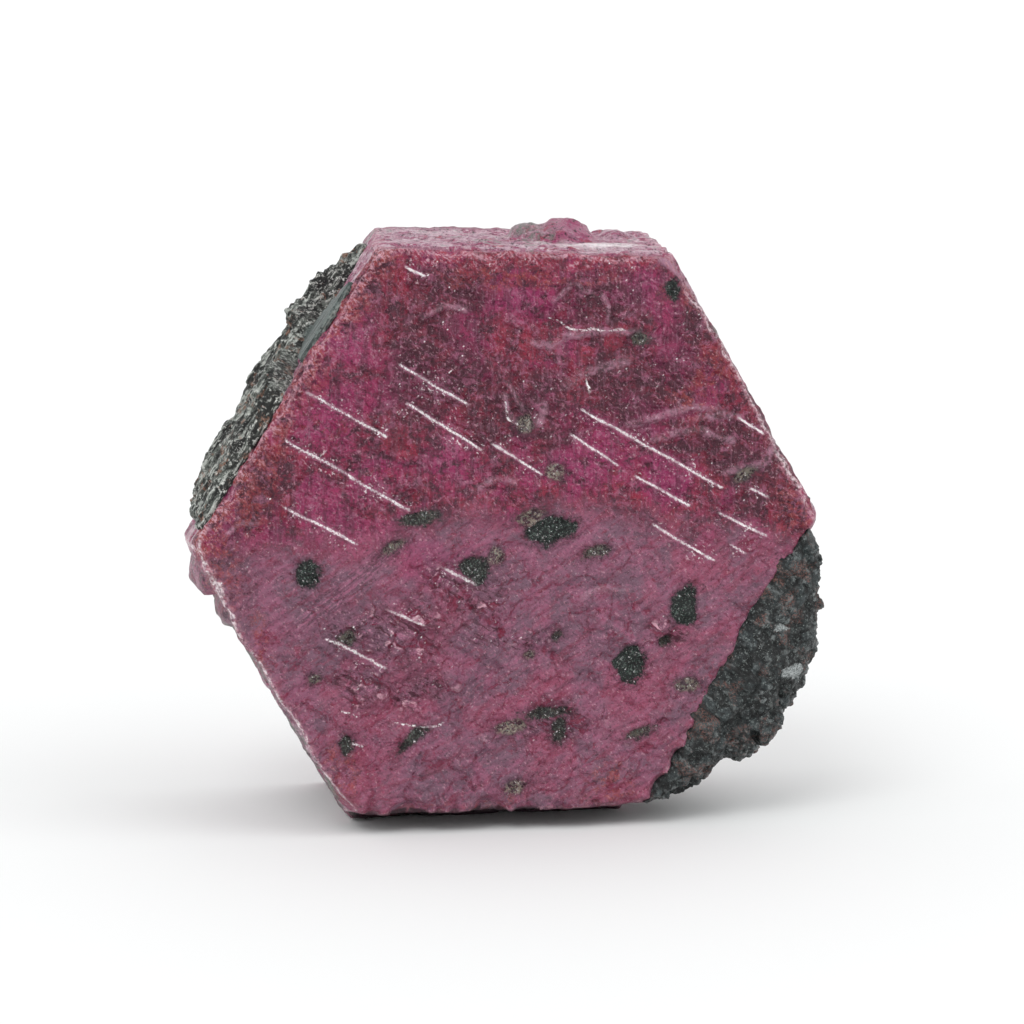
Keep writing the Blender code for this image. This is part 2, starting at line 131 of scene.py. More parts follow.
def turned(x, z, degrees, stretch=1.0):
    # coordinates along and across a direction in the basal plane, the first shortened by `stretch`
    a = math.radians(degrees)
    along = x * math.cos(a) + z * math.sin(a)
    across = -x * math.sin(a) + z * math.cos(a)
    return flat(along / stretch, across)


tablet = dict(
    thickness=18.0,
    datum=1.0,  # heights are counted from this far above the ground
    corners=((-21.3, 18.2), (-9.2, 37.2), (10.0, 36.5), (20.0, 18.9), (8.8, 0.8), (-11.4, 0.7)),
    leans=(-2.0, 0.15, 1.7, 0.2, None, -0.1),  # outwards at the back; None is the rest face
    undercut=(-4.7, -3.9, 1.2),  # the rest face is broken away in front of these depths, by this much
    middle=(-0.9, 18.9),
    sides=(0, 1, 2, 3, 5),  # the corners that start a prism face other than the rest face
    frontRows=132,
    depthRows=34,
    blend=0.06,
    rim=(1.3, 0.6),  # the front and back finishes fade in between these depths behind their faces
)
# where each face comes in the list of planes: the basal faces, the rest face, the sides, the breaks
planeOf = dict(rest=2, top=4, lowerLeft=7, topBreak=8, frontBreak=-1)
mainPlanes = 8

# broken corners and edges: a point and an outward direction, x, y, z
breaks = (
    ((9.6, -9, 36.0), (0.55, -0.62, 0.62)),
    ((13.3, 9, 35.9), (0.75, 0.55, 0.75)),
    ((-20.4, -9, 17.4), (-1.0, -0.75, -0.25)),
    ((-20.6, 0.0, 17.0), (-1.0, 0.05, -0.35)),
    ((-18.6, 9, 17.4), (-0.9, 0.8, 0.1)),
    ((-11.2, -9, 1.5), (-0.7, -0.5, -0.75)),
    ((-11.9, 9, 1.3), (-0.8, 0.5, -0.6)),
    ((19.5, -9, 18.4), (1.0, -0.35, -0.05)),
    ((20.6, 9, 18.6), (0.9, 0.6, 0.1)),
    ((-9.0, -9, 36.8), (-0.3, -0.6, 0.85)),
    ((-7.4, 9, 36.2), (-0.5, 0.55, 0.75)),
    ((8.6, 9, 1.2), (0.6, 0.6, -0.9)),
    ((3.5, -9, 0.3), (0.11, -0.5, -1.0)),
)

growth = dict(
    strike=-29.0,  # degrees: the long ledges fall to the right
    cross=34.0,  # the weaker set climbs to the right
    ledgeDepth=0.26,
    ledgeRamp=1.5,
    wall=0.09,
    # both ends of each long ledge as (x, z), and how clean it is
    ledges=(
        ((-8.0, 29.8), (-3.2, 27.0), 1.0), ((-7.5, 27.3), (-2.3, 24.0), 0.95),
        ((-1.9, 24.6), (1.6, 22.3), 0.9), ((-14.0, 28.2), (-8.5, 25.0), 1.0),
        ((-15.3, 25.1), (-7.0, 20.2), 1.0), ((-15.5, 20.8), (-10.4, 18.1), 0.7),
        ((3.2, 25.1), (6.7, 22.8), 0.9), ((7.5, 22.3), (11.4, 20.1), 0.9),
        ((13.0, 19.7), (16.6, 18.0), 0.95), ((3.9, 26.7), (13.6, 21.2), 0.95),
        ((8.6, 19.1), (13.1, 16.4), 0.75), ((13.8, 17.7), (15.2, 16.8), 0.7),
        ((14.3, 25.9), (16.3, 24.7), 0.8), ((15.0, 21.3), (16.7, 20.5), 0.6),
        ((-7.6, 36.1), (-5.9, 35.3), 0.8), ((-12.3, 12.0), (-8.6, 9.9), 0.6),
        ((-9.0, 14.0), (-6.0, 12.7), 0.5), ((-5.2, 16.6), (-2.6, 15.2), 0.5),
    ),
    # floors of the broad steps: corners as (x, z) with the depth of the floor there
    steps=(
        (((-19.5, 14.5), 0.1), ((-4.0, 6.2), 0.45), ((-1.0, 9.8), 0.35), ((-14.5, 17.3), -0.15)),
        (((0.5, 11.2), 0.35), ((12.8, 3.6), 0.3), ((15.5, 8.6), -0.1), ((6.0, 15.4), -0.1)),
        (((-7.0, 34.8), 0.3), ((3.0, 32.2), 0.35), ((6.5, 35.3), 0.05), ((-5.0, 36.6), -0.1)),
        (((6.8, 30.9), 0.3), ((14.4, 25.4), 0.3), ((13.2, 29.2), 0.0), ((9.2, 33.4), -0.1)),
        (((-13.5, 4.2), 0.3), ((-2.5, 1.6), 0.3), ((-6.0, 5.2), -0.1), ((-12.2, 8.3), -0.1)),
    ),
    backSteps=(
        (((-16.0, 19.0), 0.5), ((2.0, 8.5), 0.5), ((6.0, 20.0), -0.1), ((-8.0, 31.0), -0.1)),
        (((-4.0, 34.5), 0.4), ((12.0, 25.0), 0.5), ((15.5, 29.0), 0.1), ((4.0, 35.8), -0.1)),
        (((-9.0, 6.5), 0.4), ((9.0, 2.2), 0.4), ((13.0, 10.0), -0.1), ((-2.0, 12.0), -0.1)),
    ),
    # etched, worm-like ridges: runs of (x, z) and a half width
    ridges=(
        (((-0.7, 28.4), (-0.2, 27.6), (0.1, 26.8)), 0.2),
        (((-1.0, 27.6), (-0.9, 26.6), (-0.5, 25.9), (0.4, 25.4), (1.4, 26.0), (1.6, 26.9)), 0.24),
        (((0.6, 31.1), (2.0, 30.9), (2.8, 31.5), (5.5, 31.6), (7.8, 31.7)), 0.26),
        (((3.0, 28.2), (4.4, 29.0), (5.8, 29.3), (7.1, 29.7)), 0.30),
        (((7.1, 25.5), (9.0, 26.0), (11.0, 26.6), (13.0, 26.5)), 0.26),
        (((9.0, 24.5), (10.6, 25.1), (12.0, 25.1), (13.0, 24.6), (14.2, 24.2)), 0.26),
        (((11.6, 25.8), (13.4, 26.2), (14.6, 25.8)), 0.24),
        (((16.8, 23.8), (16.2, 22.9), (14.5, 22.5), (13.6, 22.3)), 0.24),
        (((2.1, 33.6), (3.4, 34.7), (4.9, 34.1)), 0.16),
        (((5.4, 34.0), (5.8, 33.2), (5.7, 32.3)), 0.16),
        (((-6.2, 32.6), (-5.0, 33.4), (-3.6, 33.1)), 0.16),
        (((4.2, 14.2), (5.6, 14.9), (7.0, 14.6)), 0.22),
        (((-19.3, 18.9), (-18.2, 19.6), (-17.2, 19.7)), 0.2),
        (((-3.0, 21.5), (-1.6, 22.2), (-0.2, 22.0)), 0.2),
    ),
    # short curved glints: runs of (x, z)
    glints=(
        ((2.0, 32.6), (3.6, 31.9), (4.8, 31.8), (6.9, 31.7)),
        ((-0.9, 27.1), (-0.7, 26.1), (0.0, 25.6)),
        ((4.3, 28.8), (4.5, 28.1), (4.6, 27.6)),
        ((-12.6, 11.9), (-10.8, 11.2), (-9.6, 10.5)),
        ((-11.6, 7.2), (-10.4, 6.9)), ((-8.2, 6.4), (-6.4, 6.1), (-5.0, 6.3)),
        ((-11.0, 5.2), (-10.2, 4.9)),
    ),
    # where the front shows darker, more purple or rustier: (x, z), half width, half height
    darker=(
        ((-6.3, 30.0), 2.6, 3.4), ((-1.0, 26.4), 2.4, 2.4), ((8.2, 28.0), 3.4, 2.4),
        ((2.3, 24.8), 1.2, 1.1), ((11.9, 31.6), 2.0, 1.5), ((5.3, 33.7), 2.4, 1.8),
        ((16.6, 20.2), 1.5, 0.9), ((-10.6, 12.4), 2.6, 1.3), ((13.8, 22.6), 1.5, 0.8),
        ((-4.0, 34.4), 2.0, 1.0), ((13.4, 24.4), 3.0, 1.8), ((-3.4, 28.6), 1.6, 2.2),
        ((15.8, 22.2), 1.8, 1.6), ((-18.6, 16.8), 1.7, 2.4), ((-16.8, 21.4), 1.4, 1.6),
        ((0.6, 27.6), 2.0, 1.6),
    ),
    # greyer and broken into small plates with glints
    hackly=(
        ((-8.2, 12.4), 3.4, 1.7), ((-3.6, 14.8), 2.6, 1.3), ((-6.6, 9.2), 3.2, 1.1),
        ((-10.9, 9.4), 1.6, 1.2), ((1.6, 6.4), 3.0, 0.9), ((9.6, 11.9), 1.6, 0.8), ((-1.0, 12.4), 2.2, 0.8),
    ),
    purple=(
        ((-13.0, 26.6), 2.0, 2.6), ((4.4, 23.3), 2.4, 1.8), ((-5.2, 22.9), 2.2, 1.8),
        ((7.9, 34.9), 2.4, 1.2), ((-11.2, 31.2), 1.5, 1.9), ((0.0, 33.4), 2.6, 1.2),
        ((-5.9, 17.0), 2.6, 1.1), ((-9.5, 22.4), 1.6, 2.0), ((9.0, 22.0), 2.4, 1.2),
    ),
    rusty=(
        ((-19.8, 17.4), 1.9, 3.4), ((-14.2, 30.8), 1.0, 3.2), ((-11.3, 34.4), 1.4, 1.8),
        ((-8.2, 36.4), 1.6, 0.9), ((10.9, 34.3), 1.4, 1.2), ((13.3, 29.0), 1.2, 1.5),
        ((18.8, 19.6), 1.2, 1.7), ((-17.2, 11.6), 0.9, 2.4), ((6.0, 1.8), 1.7, 0.9),
        ((-3.3, 1.0), 4.0, 0.6), ((-17.9, 21.4), 1.4, 2.6), ((-16.3, 25.4), 1.0, 2.6),
        ((-11.4, 3.2), 1.2, 2.0), ((0.5, 35.4), 6.0, 0.5), ((12.0, 27.0), 1.4, 0.8),
    ),
)

# edge of the lump on the front face: distance along the lower right edge from the right corner, and
# how far outside that edge the boundary runs there
lumpLine = ((-1, 0.2), (0.8, -0.7), (3.7, -0.7), (6.2, -0.9), (7.6, -1.1), (9.5, -0.8), (11.6, -0.7),
            (13.9, -0.4), (15.8, -0.4), (17.8, 0.1), (19.5, -0.1), (22, -0.2))

# grains of host rock let into the front face: (x, z), half width, half height, turn, and 0 for
# black-green or up to 1 for pale brown
grains = (
    ((-13.9, 16.3), 0.65, 0.92, 0, 0.0), ((-2.9, 16.2), 0.85, 0.98, 20, 0.05),
    ((2.0, 18.8), 1.7, 0.85, 8, 0.0), ((5.1, 17.3), 0.75, 0.4, 15, 0.35),
    ((11.0, 13.6), 0.85, 1.25, -8, 0.0), ((7.4, 9.8), 0.9, 1.2, -12, 0.0),
    ((9.7, 11.3), 0.4, 0.4, 0, 0.2), ((-6.5, 19.7), 1.15, 0.4, 5, 0.12),
    ((1.7, 6.7), 1.3, 0.4, 5, 0.15), ((2.7, 5.6), 0.4, 0.8, 0, 0.1),
    ((-0.5, 6.0), 0.9, 0.4, 8, 0.9), ((-0.2, 1.95), 0.65, 0.45, 0, 0.85),
    ((-7.0, 5.4), 1.1, 0.33, 42, 0.1), ((-11.3, 4.95), 0.32, 0.65, 0, 0.1),
    ((7.9, 31.1), 0.5, 0.4, 0, 0.3), ((11.3, 8.3), 0.65, 0.5, 0, 0.6),
    ((0.4, 25.7), 0.5, 0.65, 0, 0.75), ((2.3, 22.7), 0.6, 0.5, 0, 0.8),
    ((-11.4, 12.0), 0.65, 0.4, 30, 0.35), ((8.0, 5.3), 0.8, 0.33, 20, 0.3),
    ((10.1, 34.2), 0.5, 0.6, 0, 0.0), ((-1.5, 17.1), 0.5, 0.5, 0, 1.0),
    ((0.7, 19.6), 0.9, 0.45, 10, 0.8), ((14.9, 22.2), 0.7, 0.4, 20, 0.7),
    ((-13.3, 9.4), 0.35, 0.35, 0, 0.5), ((2.5, 11.8), 0.35, 0.3, 0, 0.3),
    ((0.7, 10.6), 0.3, 0.25, 0, 0.7), ((-8.3, 17.9), 0.8, 0.3, 25, 0.6),
)

# bulges on the top face and under the left corner: (x, y, z) and half sizes
knobs = (
    ((-19.65, -3.4, 15.9), (1.1, 3.0, 1.6)), ((-18.2, -3.0, 13.5), (0.95, 2.6, 1.4)),
    ((2.6, 2.2, 36.8), (1.4, 2.0, 1.05)), ((4.9, 2.4, 36.7), (2.2, 2.4, 1.3)),
    ((8.6, 4.5, 36.4), (1.8, 1.8, 0.7)), ((-5.0, 4.0, 36.6), (2.4, 2.0, 0.6)),
)
knobsAbove, knobsLeftOf = 35.0, -17.0  # elsewhere a knob stays inside the crystal's skin

# soft patches of colour: middle, squares of the half widths, and how sharply each fades
patches = dict(
    brushed=((0.0, 0.0), (5.6 ** 2, 0.9 ** 2), 2),
    greenLump=((2.3, 2.2), (1.8, 1.8), 1),
    redLump=((5.3, 2.4), (5.0, 5.0), 1),
    leftLumps=((-19.4, 15.0), (4.0, 7.0), 2),
    # a painted reflection on the top face
    topSheen=((6.0, -3.0), (3.6 ** 2, 2.0 ** 2), 2),
)
scratches = dict(middle=(-11.2, 15.5), turn=38.0)  # the band that is brushed


def ledgeField(x, z):
    # height of the long ledges, distance to the nearest one and to a line a little below it, and how
    # clean the nearest is. Above a ledge's line the face is sunk by depth * (1 - s / ramp), where s
    # is the distance from the line; the wall on the line is steep.
    height = np.zeros_like(x)
    near = np.full_like(x, 2.0)
    below = np.full_like(x, 2.0)
    clean = np.zeros_like(x)
    wobble = 0.06 * softNoise(flat(x, z), 1.3, 5)
    for (ax, az), (bx, bz), strength in growth["ledges"]:
        length = math.hypot(bx - ax, bz - az)
        tx, tz = (bx - ax) / length, (bz - az) / length
        u = (x - ax) * tx + (z - az) * tz
        s = -(x - ax) * tz + (z - az) * tx + wobble
        fade = ease(np.minimum(u, length - u), -0.1, 0.55)
        wall = np.clip(s / growth["wall"] + 0.5, 0, 1)
        ramp = np.clip(1 - s / growth["ledgeRamp"], 0, 1)
        height -= growth["ledgeDepth"] * strength * fade * wall * ramp
        nearest = (np.abs(s) < near) & (fade > 0.01)
        near = np.where(nearest, np.abs(s), near)
        below = np.where(nearest, np.abs(s + 0.15), below)
        clean = np.where(nearest, fade * strength, clean)
    return height, near, below, clean


def runDistance(x, z, run):
    # distance to a run of straight pieces
    best = np.full_like(x, 9.0)
    for (ax, az), (bx, bz) in zip(run, run[1:]):
        u = ((x - ax) * (bx - ax) + (z - az) * (bz - az)) / ((bx - ax) ** 2 + (bz - az) ** 2)
        u = np.clip(u, 0, 1)
        best = np.minimum(best, np.hypot(x - ax - u * (bx - ax), z - az - u * (bz - az)))
    return best


def spots(x, z, places, seed):
    # the largest of exp(-r^4 / 1.6) over soft ellipses, r being 1 on the ellipse, with their outlines
    # pulled about by noise
    amount = np.zeros_like(x)
    px = x + 1.1 * cloud(flat(x, z), 3.0, 3, seed)
    pz = z + 1.1 * cloud(flat(x, z), 3.0, 3, seed + 1)
    for (cx, cz), halfWidth, halfHeight in places:
        d = ((px - cx) / halfWidth) ** 2 + ((pz - cz) / halfHeight) ** 2
        amount = np.maximum(amount, np.exp(-d * d / 1.6))
    return amount


def softPatch(u, v, name):
    # exp(-d^power), d being the squared distance from the patch's middle over its own squares
    (cu, cv), (squareU, squareV), power = patches[name]
    return np.exp(-((u - cu) ** 2 / squareU + (v - cv) ** 2 / squareV) ** power)


def beyondLump(x, z):
    # distance past the lump's edge on the front face, negative on the open ruby
    (ax, az), (bx, bz) = tablet["corners"][3], tablet["corners"][4]
    length = math.hypot(bx - ax, bz - az)
    s = ((x - ax) * (bx - ax) + (z - az) * (bz - az)) / length
    h = ((x - ax) * (az - bz) + (z - az) * (bx - ax)) / length
    line = np.interp(s, [p[0] for p in lumpLine], [p[1] for p in lumpLine])
    return h - line + 0.22 * cloud(flat(x, z), 1.3, 3, 81)


def stepField(x, z, steps, seed):
    # a sunken floor for each step: inside its outline the face drops to a tilted plane through the
    # depths given at its corners
    height = np.zeros_like(x)
    ragged = 0.22 * cloud(flat(x, z), 1.8, 2, seed)
    for corners in steps:
        spots = np.array([c[0] for c in corners])
        depths = np.array([c[1] for c in corners])
        plane = np.linalg.lstsq(np.c_[spots, np.ones(len(spots))], depths, rcond=None)[0]
        depth = plane[0] * x + plane[1] * z + plane[2]
        middle = spots.mean(axis=0)
        inside = np.full_like(x, 9.0)
        for a, b in zip(spots, np.roll(spots, -1, axis=0)):
            normal = np.array([a[1] - b[1], b[0] - a[0]]) / np.hypot(*(b - a))
            if (middle - a) @ normal < 0:
                normal = -normal
            inside = np.minimum(inside, (x - a[0]) * normal[0] + (z - a[1]) * normal[1])
        height -= np.clip(depth, 0, None) * ease(inside + ragged, -0.05, 0.12)
    return height


def grainField(x, z):
    # distance outside the nearest grain, in millimetres and negative inside it, and its paleness.
    # A grain is an ellipse bent by noise, and its radius wavers with another.
    gap = np.full_like(x, 3.0)
    pale = np.zeros_like(x)
    waver = 1 + 0.2 * cloud(flat(x, z), 0.7, 3, 41)
    px, pz = x + 0.14 * cloud(flat(x, z), 1.0, 2, 43), z + 0.14 * cloud(flat(x, z), 1.0, 2, 45)
    for (cx, cz), halfWidth, halfHeight, turn, tone in grains:
        p = turned(px - cx, pz - cz, turn)
        e = np.sqrt((p[:, 0] / halfWidth) ** 2 + (p[:, 2] / halfHeight) ** 2) * waver
        d = (e - 1) * min(halfWidth, halfHeight)
        near = d < gap
        gap = np.where(near, d, gap)
        pale = np.where(near, tone, pale)
    return gap, pale


def ridgeField(x, z):
    # 0 to 1 over the etched ridges: exp(-(distance / half width)^4) of the nearest run
    amount = np.zeros_like(x)
    px = x + 0.16 * softNoise(flat(x, z), 1.2, 61)
    pz = z + 0.16 * softNoise(flat(x, z), 1.2, 62)
    for run, half in growth["ridges"]:
        amount = np.maximum(amount, np.exp(-(runDistance(px, pz, run) / half) ** 4))
    return amount


def glintField(x, z):
    # distance to the nearest short glint
    px = x + 0.12 * softNoise(flat(x, z), 0.8, 65)
    pz = z + 0.12 * softNoise(flat(x, z), 0.8, 66)
    return np.minimum.reduce([runDistance(px, pz, run) for run in growth["glints"]])


def lowPart(x, z):
    # 1 on the paler lower part of the front face, 0 above, along a wavering line
    line = 18.0 + 2.6 * np.exp(-(x / 7.0) ** 2) + 1.3 * cloud(flat(x, z), 5.0, 3, 71)
    return ease(z - line, 1.3, -1.6)


def terraces(x, z, degrees, stretch, size, count, tilt, seed):
    # shingled flakes: a slow noise drawn out along one direction, plus a tilt across it, is counted
    # off in levels. Returns the level, levels per millimetre, and the shingle height, which steps up
    # over a short width to 0.65 and falls away to -0.35
    def level(x, z):
        p = turned(x, z, degrees, stretch)
        return count * cloud(p, size, 4, seed) + tilt * p[:, 2] + 40

    n = level(x, z)
    step = 0.02
    slope = np.hypot(level(x + step, z) - n, level(x, z + step) - n) / step
    tooth = n - np.floor(n)
    width = np.clip(0.14 * slope, 0.02, 0.5)
    return n, np.maximum(slope, 0.25), ease(tooth, 0.0, width) * (1 - tooth) - 0.35


def plates(x, z, degrees, stretch, size, seed):
    # broken plates: the cells round chance points, drawn out along one direction and bent by noise.
    # Returns the distance to the plate's edge and the chance number of the plate
    pull = 0.3 * size
    px = x + pull * cloud(flat(x, z), size, 3, seed + 7)
    pz = z + pull * cloud(flat(x, z), size, 3, seed + 8)
    first, second, mark = grainCells(turned(px, pz, degrees, stretch), size, seed)
    return 0.5 * size * (second - first), mark


# millimetres of each layer of the front face, on its upper part and on its lower part
layers = dict(
    flakes=(0.08, 0.18),
    scars=(0.16, 0.06),
    lowPlates=(0.08, 0.20),
    smallPlates=(0.08, 0.14),
    grit=(0.121, 0.088),
)
lowPlates = dict(degrees=26.0, stretch=2.0, size=1.7, seed=701)
smallPlates = dict(degrees=-24.0, stretch=1.6, size=0.8, seed=711)
lowFlakes = dict(degrees=30.0, stretch=2.3, size=3.0, count=2.6, tilt=0.45, seed=11)
highScars = dict(degrees=-29.0, stretch=3.2, size=2.8, count=1.9, tilt=0.5, seed=13)


def frontRelief(x, z):
    # height of the front face over its plane: swell + steps + ledges + flakes + plates + ridges + grit,
    # less the pits of the grains and the seat of the lump
    low = lowPart(x, z)
    p = flat(x, z)
    height = 0.20 * cloud(p, 9.0, 3, 1) + 0.10 * cloud(p, 2.6, 2, 2)
    height += stepField(x, z, growth["steps"], 3)
    height += ledgeField(x, z)[0]
    height += between(layers["flakes"], low) * terraces(x, z, **lowFlakes)[2]
    height += between(layers["scars"], low) * terraces(x, z, **highScars)[2]
    rough = spots(x, z, growth["hackly"], 97)
    for name, plate, extra in (("lowPlates", lowPlates, 0.2), ("smallPlates", smallPlates, 0.16)):
        gap, mark = plates(x, z, **plate)
        height += (between(layers[name], low) + extra * rough) * (mark - 0.5) * ease(gap, 0.0, 0.10)
    height += 0.18 * ridgeField(x, z)
    height += between(layers["grit"], low) * cloud(p, 0.75, 3, 19)
    gap, _ = grainField(x, z)
    height -= ease(gap, 0.12, -0.1) * (0.16 - 0.12 * cloud(p, 0.5, 2, 23))
    height -= 0.45 * ease(beyondLump(x, z), -0.05, 0.35)
    return height


backFlakes = dict(degrees=29.0, stretch=2.6, size=3.4, count=2.4, tilt=0.4, seed=105)
backScars = dict(degrees=88.0, stretch=2.2, size=2.6, count=2.0, tilt=0.5, seed=107)


def backRelief(x, z):
    # the plainer basal face: swell + broad steps + plates along both growth directions
    p = flat(x, z)
    height = 0.25 * cloud(p, 10.0, 3, 101)
    height += stepField(x, z, growth["backSteps"], 103)
    share = ease(cloud(p, 7.0, 2, 109), -0.2, 0.3)
    height += 0.30 * share * terraces(x, z, **backFlakes)[2]
    height += 0.24 * (1 - share) * terraces(x, z, **backScars)[2]
    height += 0.09 * cloud(p, 1.1, 3, 111)
    return height


def sideRelief(points, along, seed):
    # prism faces have long flat growth steps parallel to the basal faces: a sawtooth of the depth,
    # bent by a slow noise of the length along the face
    y = points[:, 1]
    q = trios(along / 6.0, y, np.zeros_like(y))
    phase = y / 2.6 + 0.55 * cloud(q, 3.0, 3, seed)
    tooth = phase - np.floor(phase)
    height = 0.3 * (ease(tooth, 0.0, 0.12) * (1 - tooth) - 0.45)
    height += 0.12 * cloud(points, 3.0, 3, seed + 3)
    height += 0.12 * cloud(points, 0.9, 3, seed + 5)
    return height


def sidePlane(index):
    # a prism face holds its front edge and leans outwards by `lean` over the thickness
    t = tablet["thickness"]
    ax, az = tablet["corners"][index]
    bx, bz = tablet["corners"][(index + 1) % 6]
    length = math.hypot(bx - ax, bz - az)
    edge = np.array([(bx - ax) / length, 0.0, (bz - az) / length])
    outward = np.array([-edge[2], 0.0, edge[0]])
    normal = np.cross(edge, np.array([0.0, t, 0.0]) + outward * tablet["leans"][index])
    return np.array([ax, -t / 2, az]), normal / np.linalg.norm(normal), edge


def tabletFaces():
    # every plane of the tablet as (point, outward normal, relief of an array of points)
    half = tablet["thickness"] / 2

    def restRelief(p):
        front, inner, rise = tablet["undercut"]
        edge = p[:, 1] + 0.5 * cloud(flat(p[:, 0], p[:, 1]), 2.2, 3, 157)
        deep = rise + 0.12 * cloud(p, 1.6, 3, 153)
        return 0.1 * cloud(p, 2.0, 3, 151) - 0.12 - deep * ease(edge, inner, front)

    faces = [
        (np.array([0, -half, 0]), np.array([0, -1.0, 0]), lambda p: frontRelief(p[:, 0], p[:, 2])),
        (np.array([0, half, 0]), np.array([0, 1.0, 0]), lambda p: backRelief(p[:, 0], p[:, 2])),
        (np.array([0, 0, -tablet["datum"]]), np.array([0, 0, -1.0]), restRelief),
    ]
    for index in tablet["sides"]:
        point, normal, edge = sidePlane(index)
        faces.append((point, normal,
                      lambda p, a=point, e=edge, n=index: sideRelief(p, (p - a) @ e, 200 + 20 * n)))
    for number, (point, normal) in enumerate(breaks):
        n = np.array(normal) / np.linalg.norm(normal)
        faces.append((np.array(point, float), n, lambda p, k=number: 0.14 * cloud(p, 1.6, 3, 400 + k)))
    return faces


def edgeChips():
    # chance spheroids set along the edges of both basal faces: (centre, radius)
    chance = np.random.default_rng(37)
    half = tablet["thickness"] / 2
    chips = []
    for level in (-half, half):
        for k in range(6):
            ax, az = tablet["corners"][k]
            bx, bz = tablet["corners"][(k + 1) % 6]
            out = np.array([-(bz - az), 0, bx - ax]) / math.hypot(bx - ax, bz - az)
            lean = (tablet["leans"][k] or 0.0) * (level > 0)
            for u in (np.arange(9) + chance.uniform(0.1, 0.9, 9)) / 9:
                radius = chance.uniform(0.35, 1.5) ** 1.6
                centre = np.array([ax + (bx - ax) * u, level, az + (bz - az) * u]) + out * lean
                push = (out + np.array([0, np.sign(level), 0])) / math.sqrt(2)
                chips.append((centre + push * radius * chance.uniform(0.55, 0.85), radius))
    return chips


def tabletField(points, faces, chips):
    # the skin is where this is zero: a soft maximum of all face functions, cut by the chips and
    # joined with the knobs. Also returns its gradient and the share of each face.
    values = np.empty((len(faces), len(points)))
    for k, (point, normal, relief) in enumerate(faces):
        plain = (points - point) @ normal
        near = plain > -1.6
        if near.any():
            plain[near] -= relief(points[near])
        values[k] = plain
    blend = tablet["blend"]
    top = values.max(axis=0)
    share = np.exp((values - top) / blend)
    total = share.sum(axis=0)
    share /= total
    f = top + blend * np.log(total)
    gradient = np.tensordot(share, np.array([face[1] for face in faces]), axes=(0, 0))
    ragged = 0.12 * cloud(points, 0.8, 2, 301)
    for centre, radius in chips:
        d = points - centre
        r = np.sqrt((d * d).sum(axis=1))
        bite = radius - r + ragged * min(1.0, radius)
        deeper = bite > f
        f = np.where(deeper, bite, f)
        gradient[deeper] = -(d / np.maximum(r, 1e-6)[:, None])[deeper]
    rough = 0.22 * cloud(points, 1.1, 3, 303)
    for centre, radii in knobs:
        d = (points - np.array(centre)) / np.array(radii)
        r = np.sqrt((d * d).sum(axis=1))
        lump = (r - 1) * min(radii) - rough
        outer = (lump < f) & ((points[:, 2] > knobsAbove) | (points[:, 0] < knobsLeftOf))
        f = np.where(outer, lump, f)
        g = d / np.array(radii)
        g /= np.maximum(np.linalg.norm(g, axis=1), 1e-6)[:, None]
        gradient[outer] = g[outer]
    return f, gradient, share, values


def hexRings(rows):
    # positions on a six-sided net: ring i has 6i points, `sector` and `step` along it. Returned as
    # ring share 0..1, sector number and share along the sector, for every point, and its triangles
    ringOf, sector, step = [np.zeros(1)], [np.zeros(1)], [np.zeros(1)]
    for i in range(1, rows + 1):
        ringOf.append(np.full(6 * i, i / rows))
        sector.append(np.repeat(np.arange(6), i))
        step.append(np.tile(np.arange(i) / i, 6))

    def at(ring, k, j):
        # the number of point j of sector k: a ring of 6i points starts at 1 + 3i(i - 1)
        return (1 + 3 * ring * (ring - 1) if ring else 0) + (k * ring + j) % max(6 * ring, 1)

    triangles = []
    for i in range(rows):
        k, j = grid(6, i + 1)
        triangles.append(trios(at(i + 1, k, j), at(i + 1, k, j + 1), at(i, k, j)))
        k, j = grid(6, i)
        triangles.append(trios(at(i, k, j), at(i + 1, k, j + 1), at(i, k, j + 1)))
    return np.concatenate(ringOf), np.concatenate(sector), np.concatenate(step), np.concatenate(triangles)


def backCorners():
    # corners of the back basal face: neighbouring prism planes cut the plane y = half thickness
    half = tablet["thickness"] / 2
    lines = []
    for index in range(6):
        if tablet["leans"][index] is None:
            lines.append((np.array([0.0, 1.0]), -tablet["datum"]))
            continue
        point, normal, _ = sidePlane(index)
        lines.append((normal[[0, 2]], point @ normal - half * normal[1]))
    found = []
    for index in range(6):
        (n0, d0), (n1, d1) = lines[index - 1], lines[index]
        found.append(np.linalg.solve(np.array([n0, n1]), np.array([d0, d1])))
    return np.array(found)


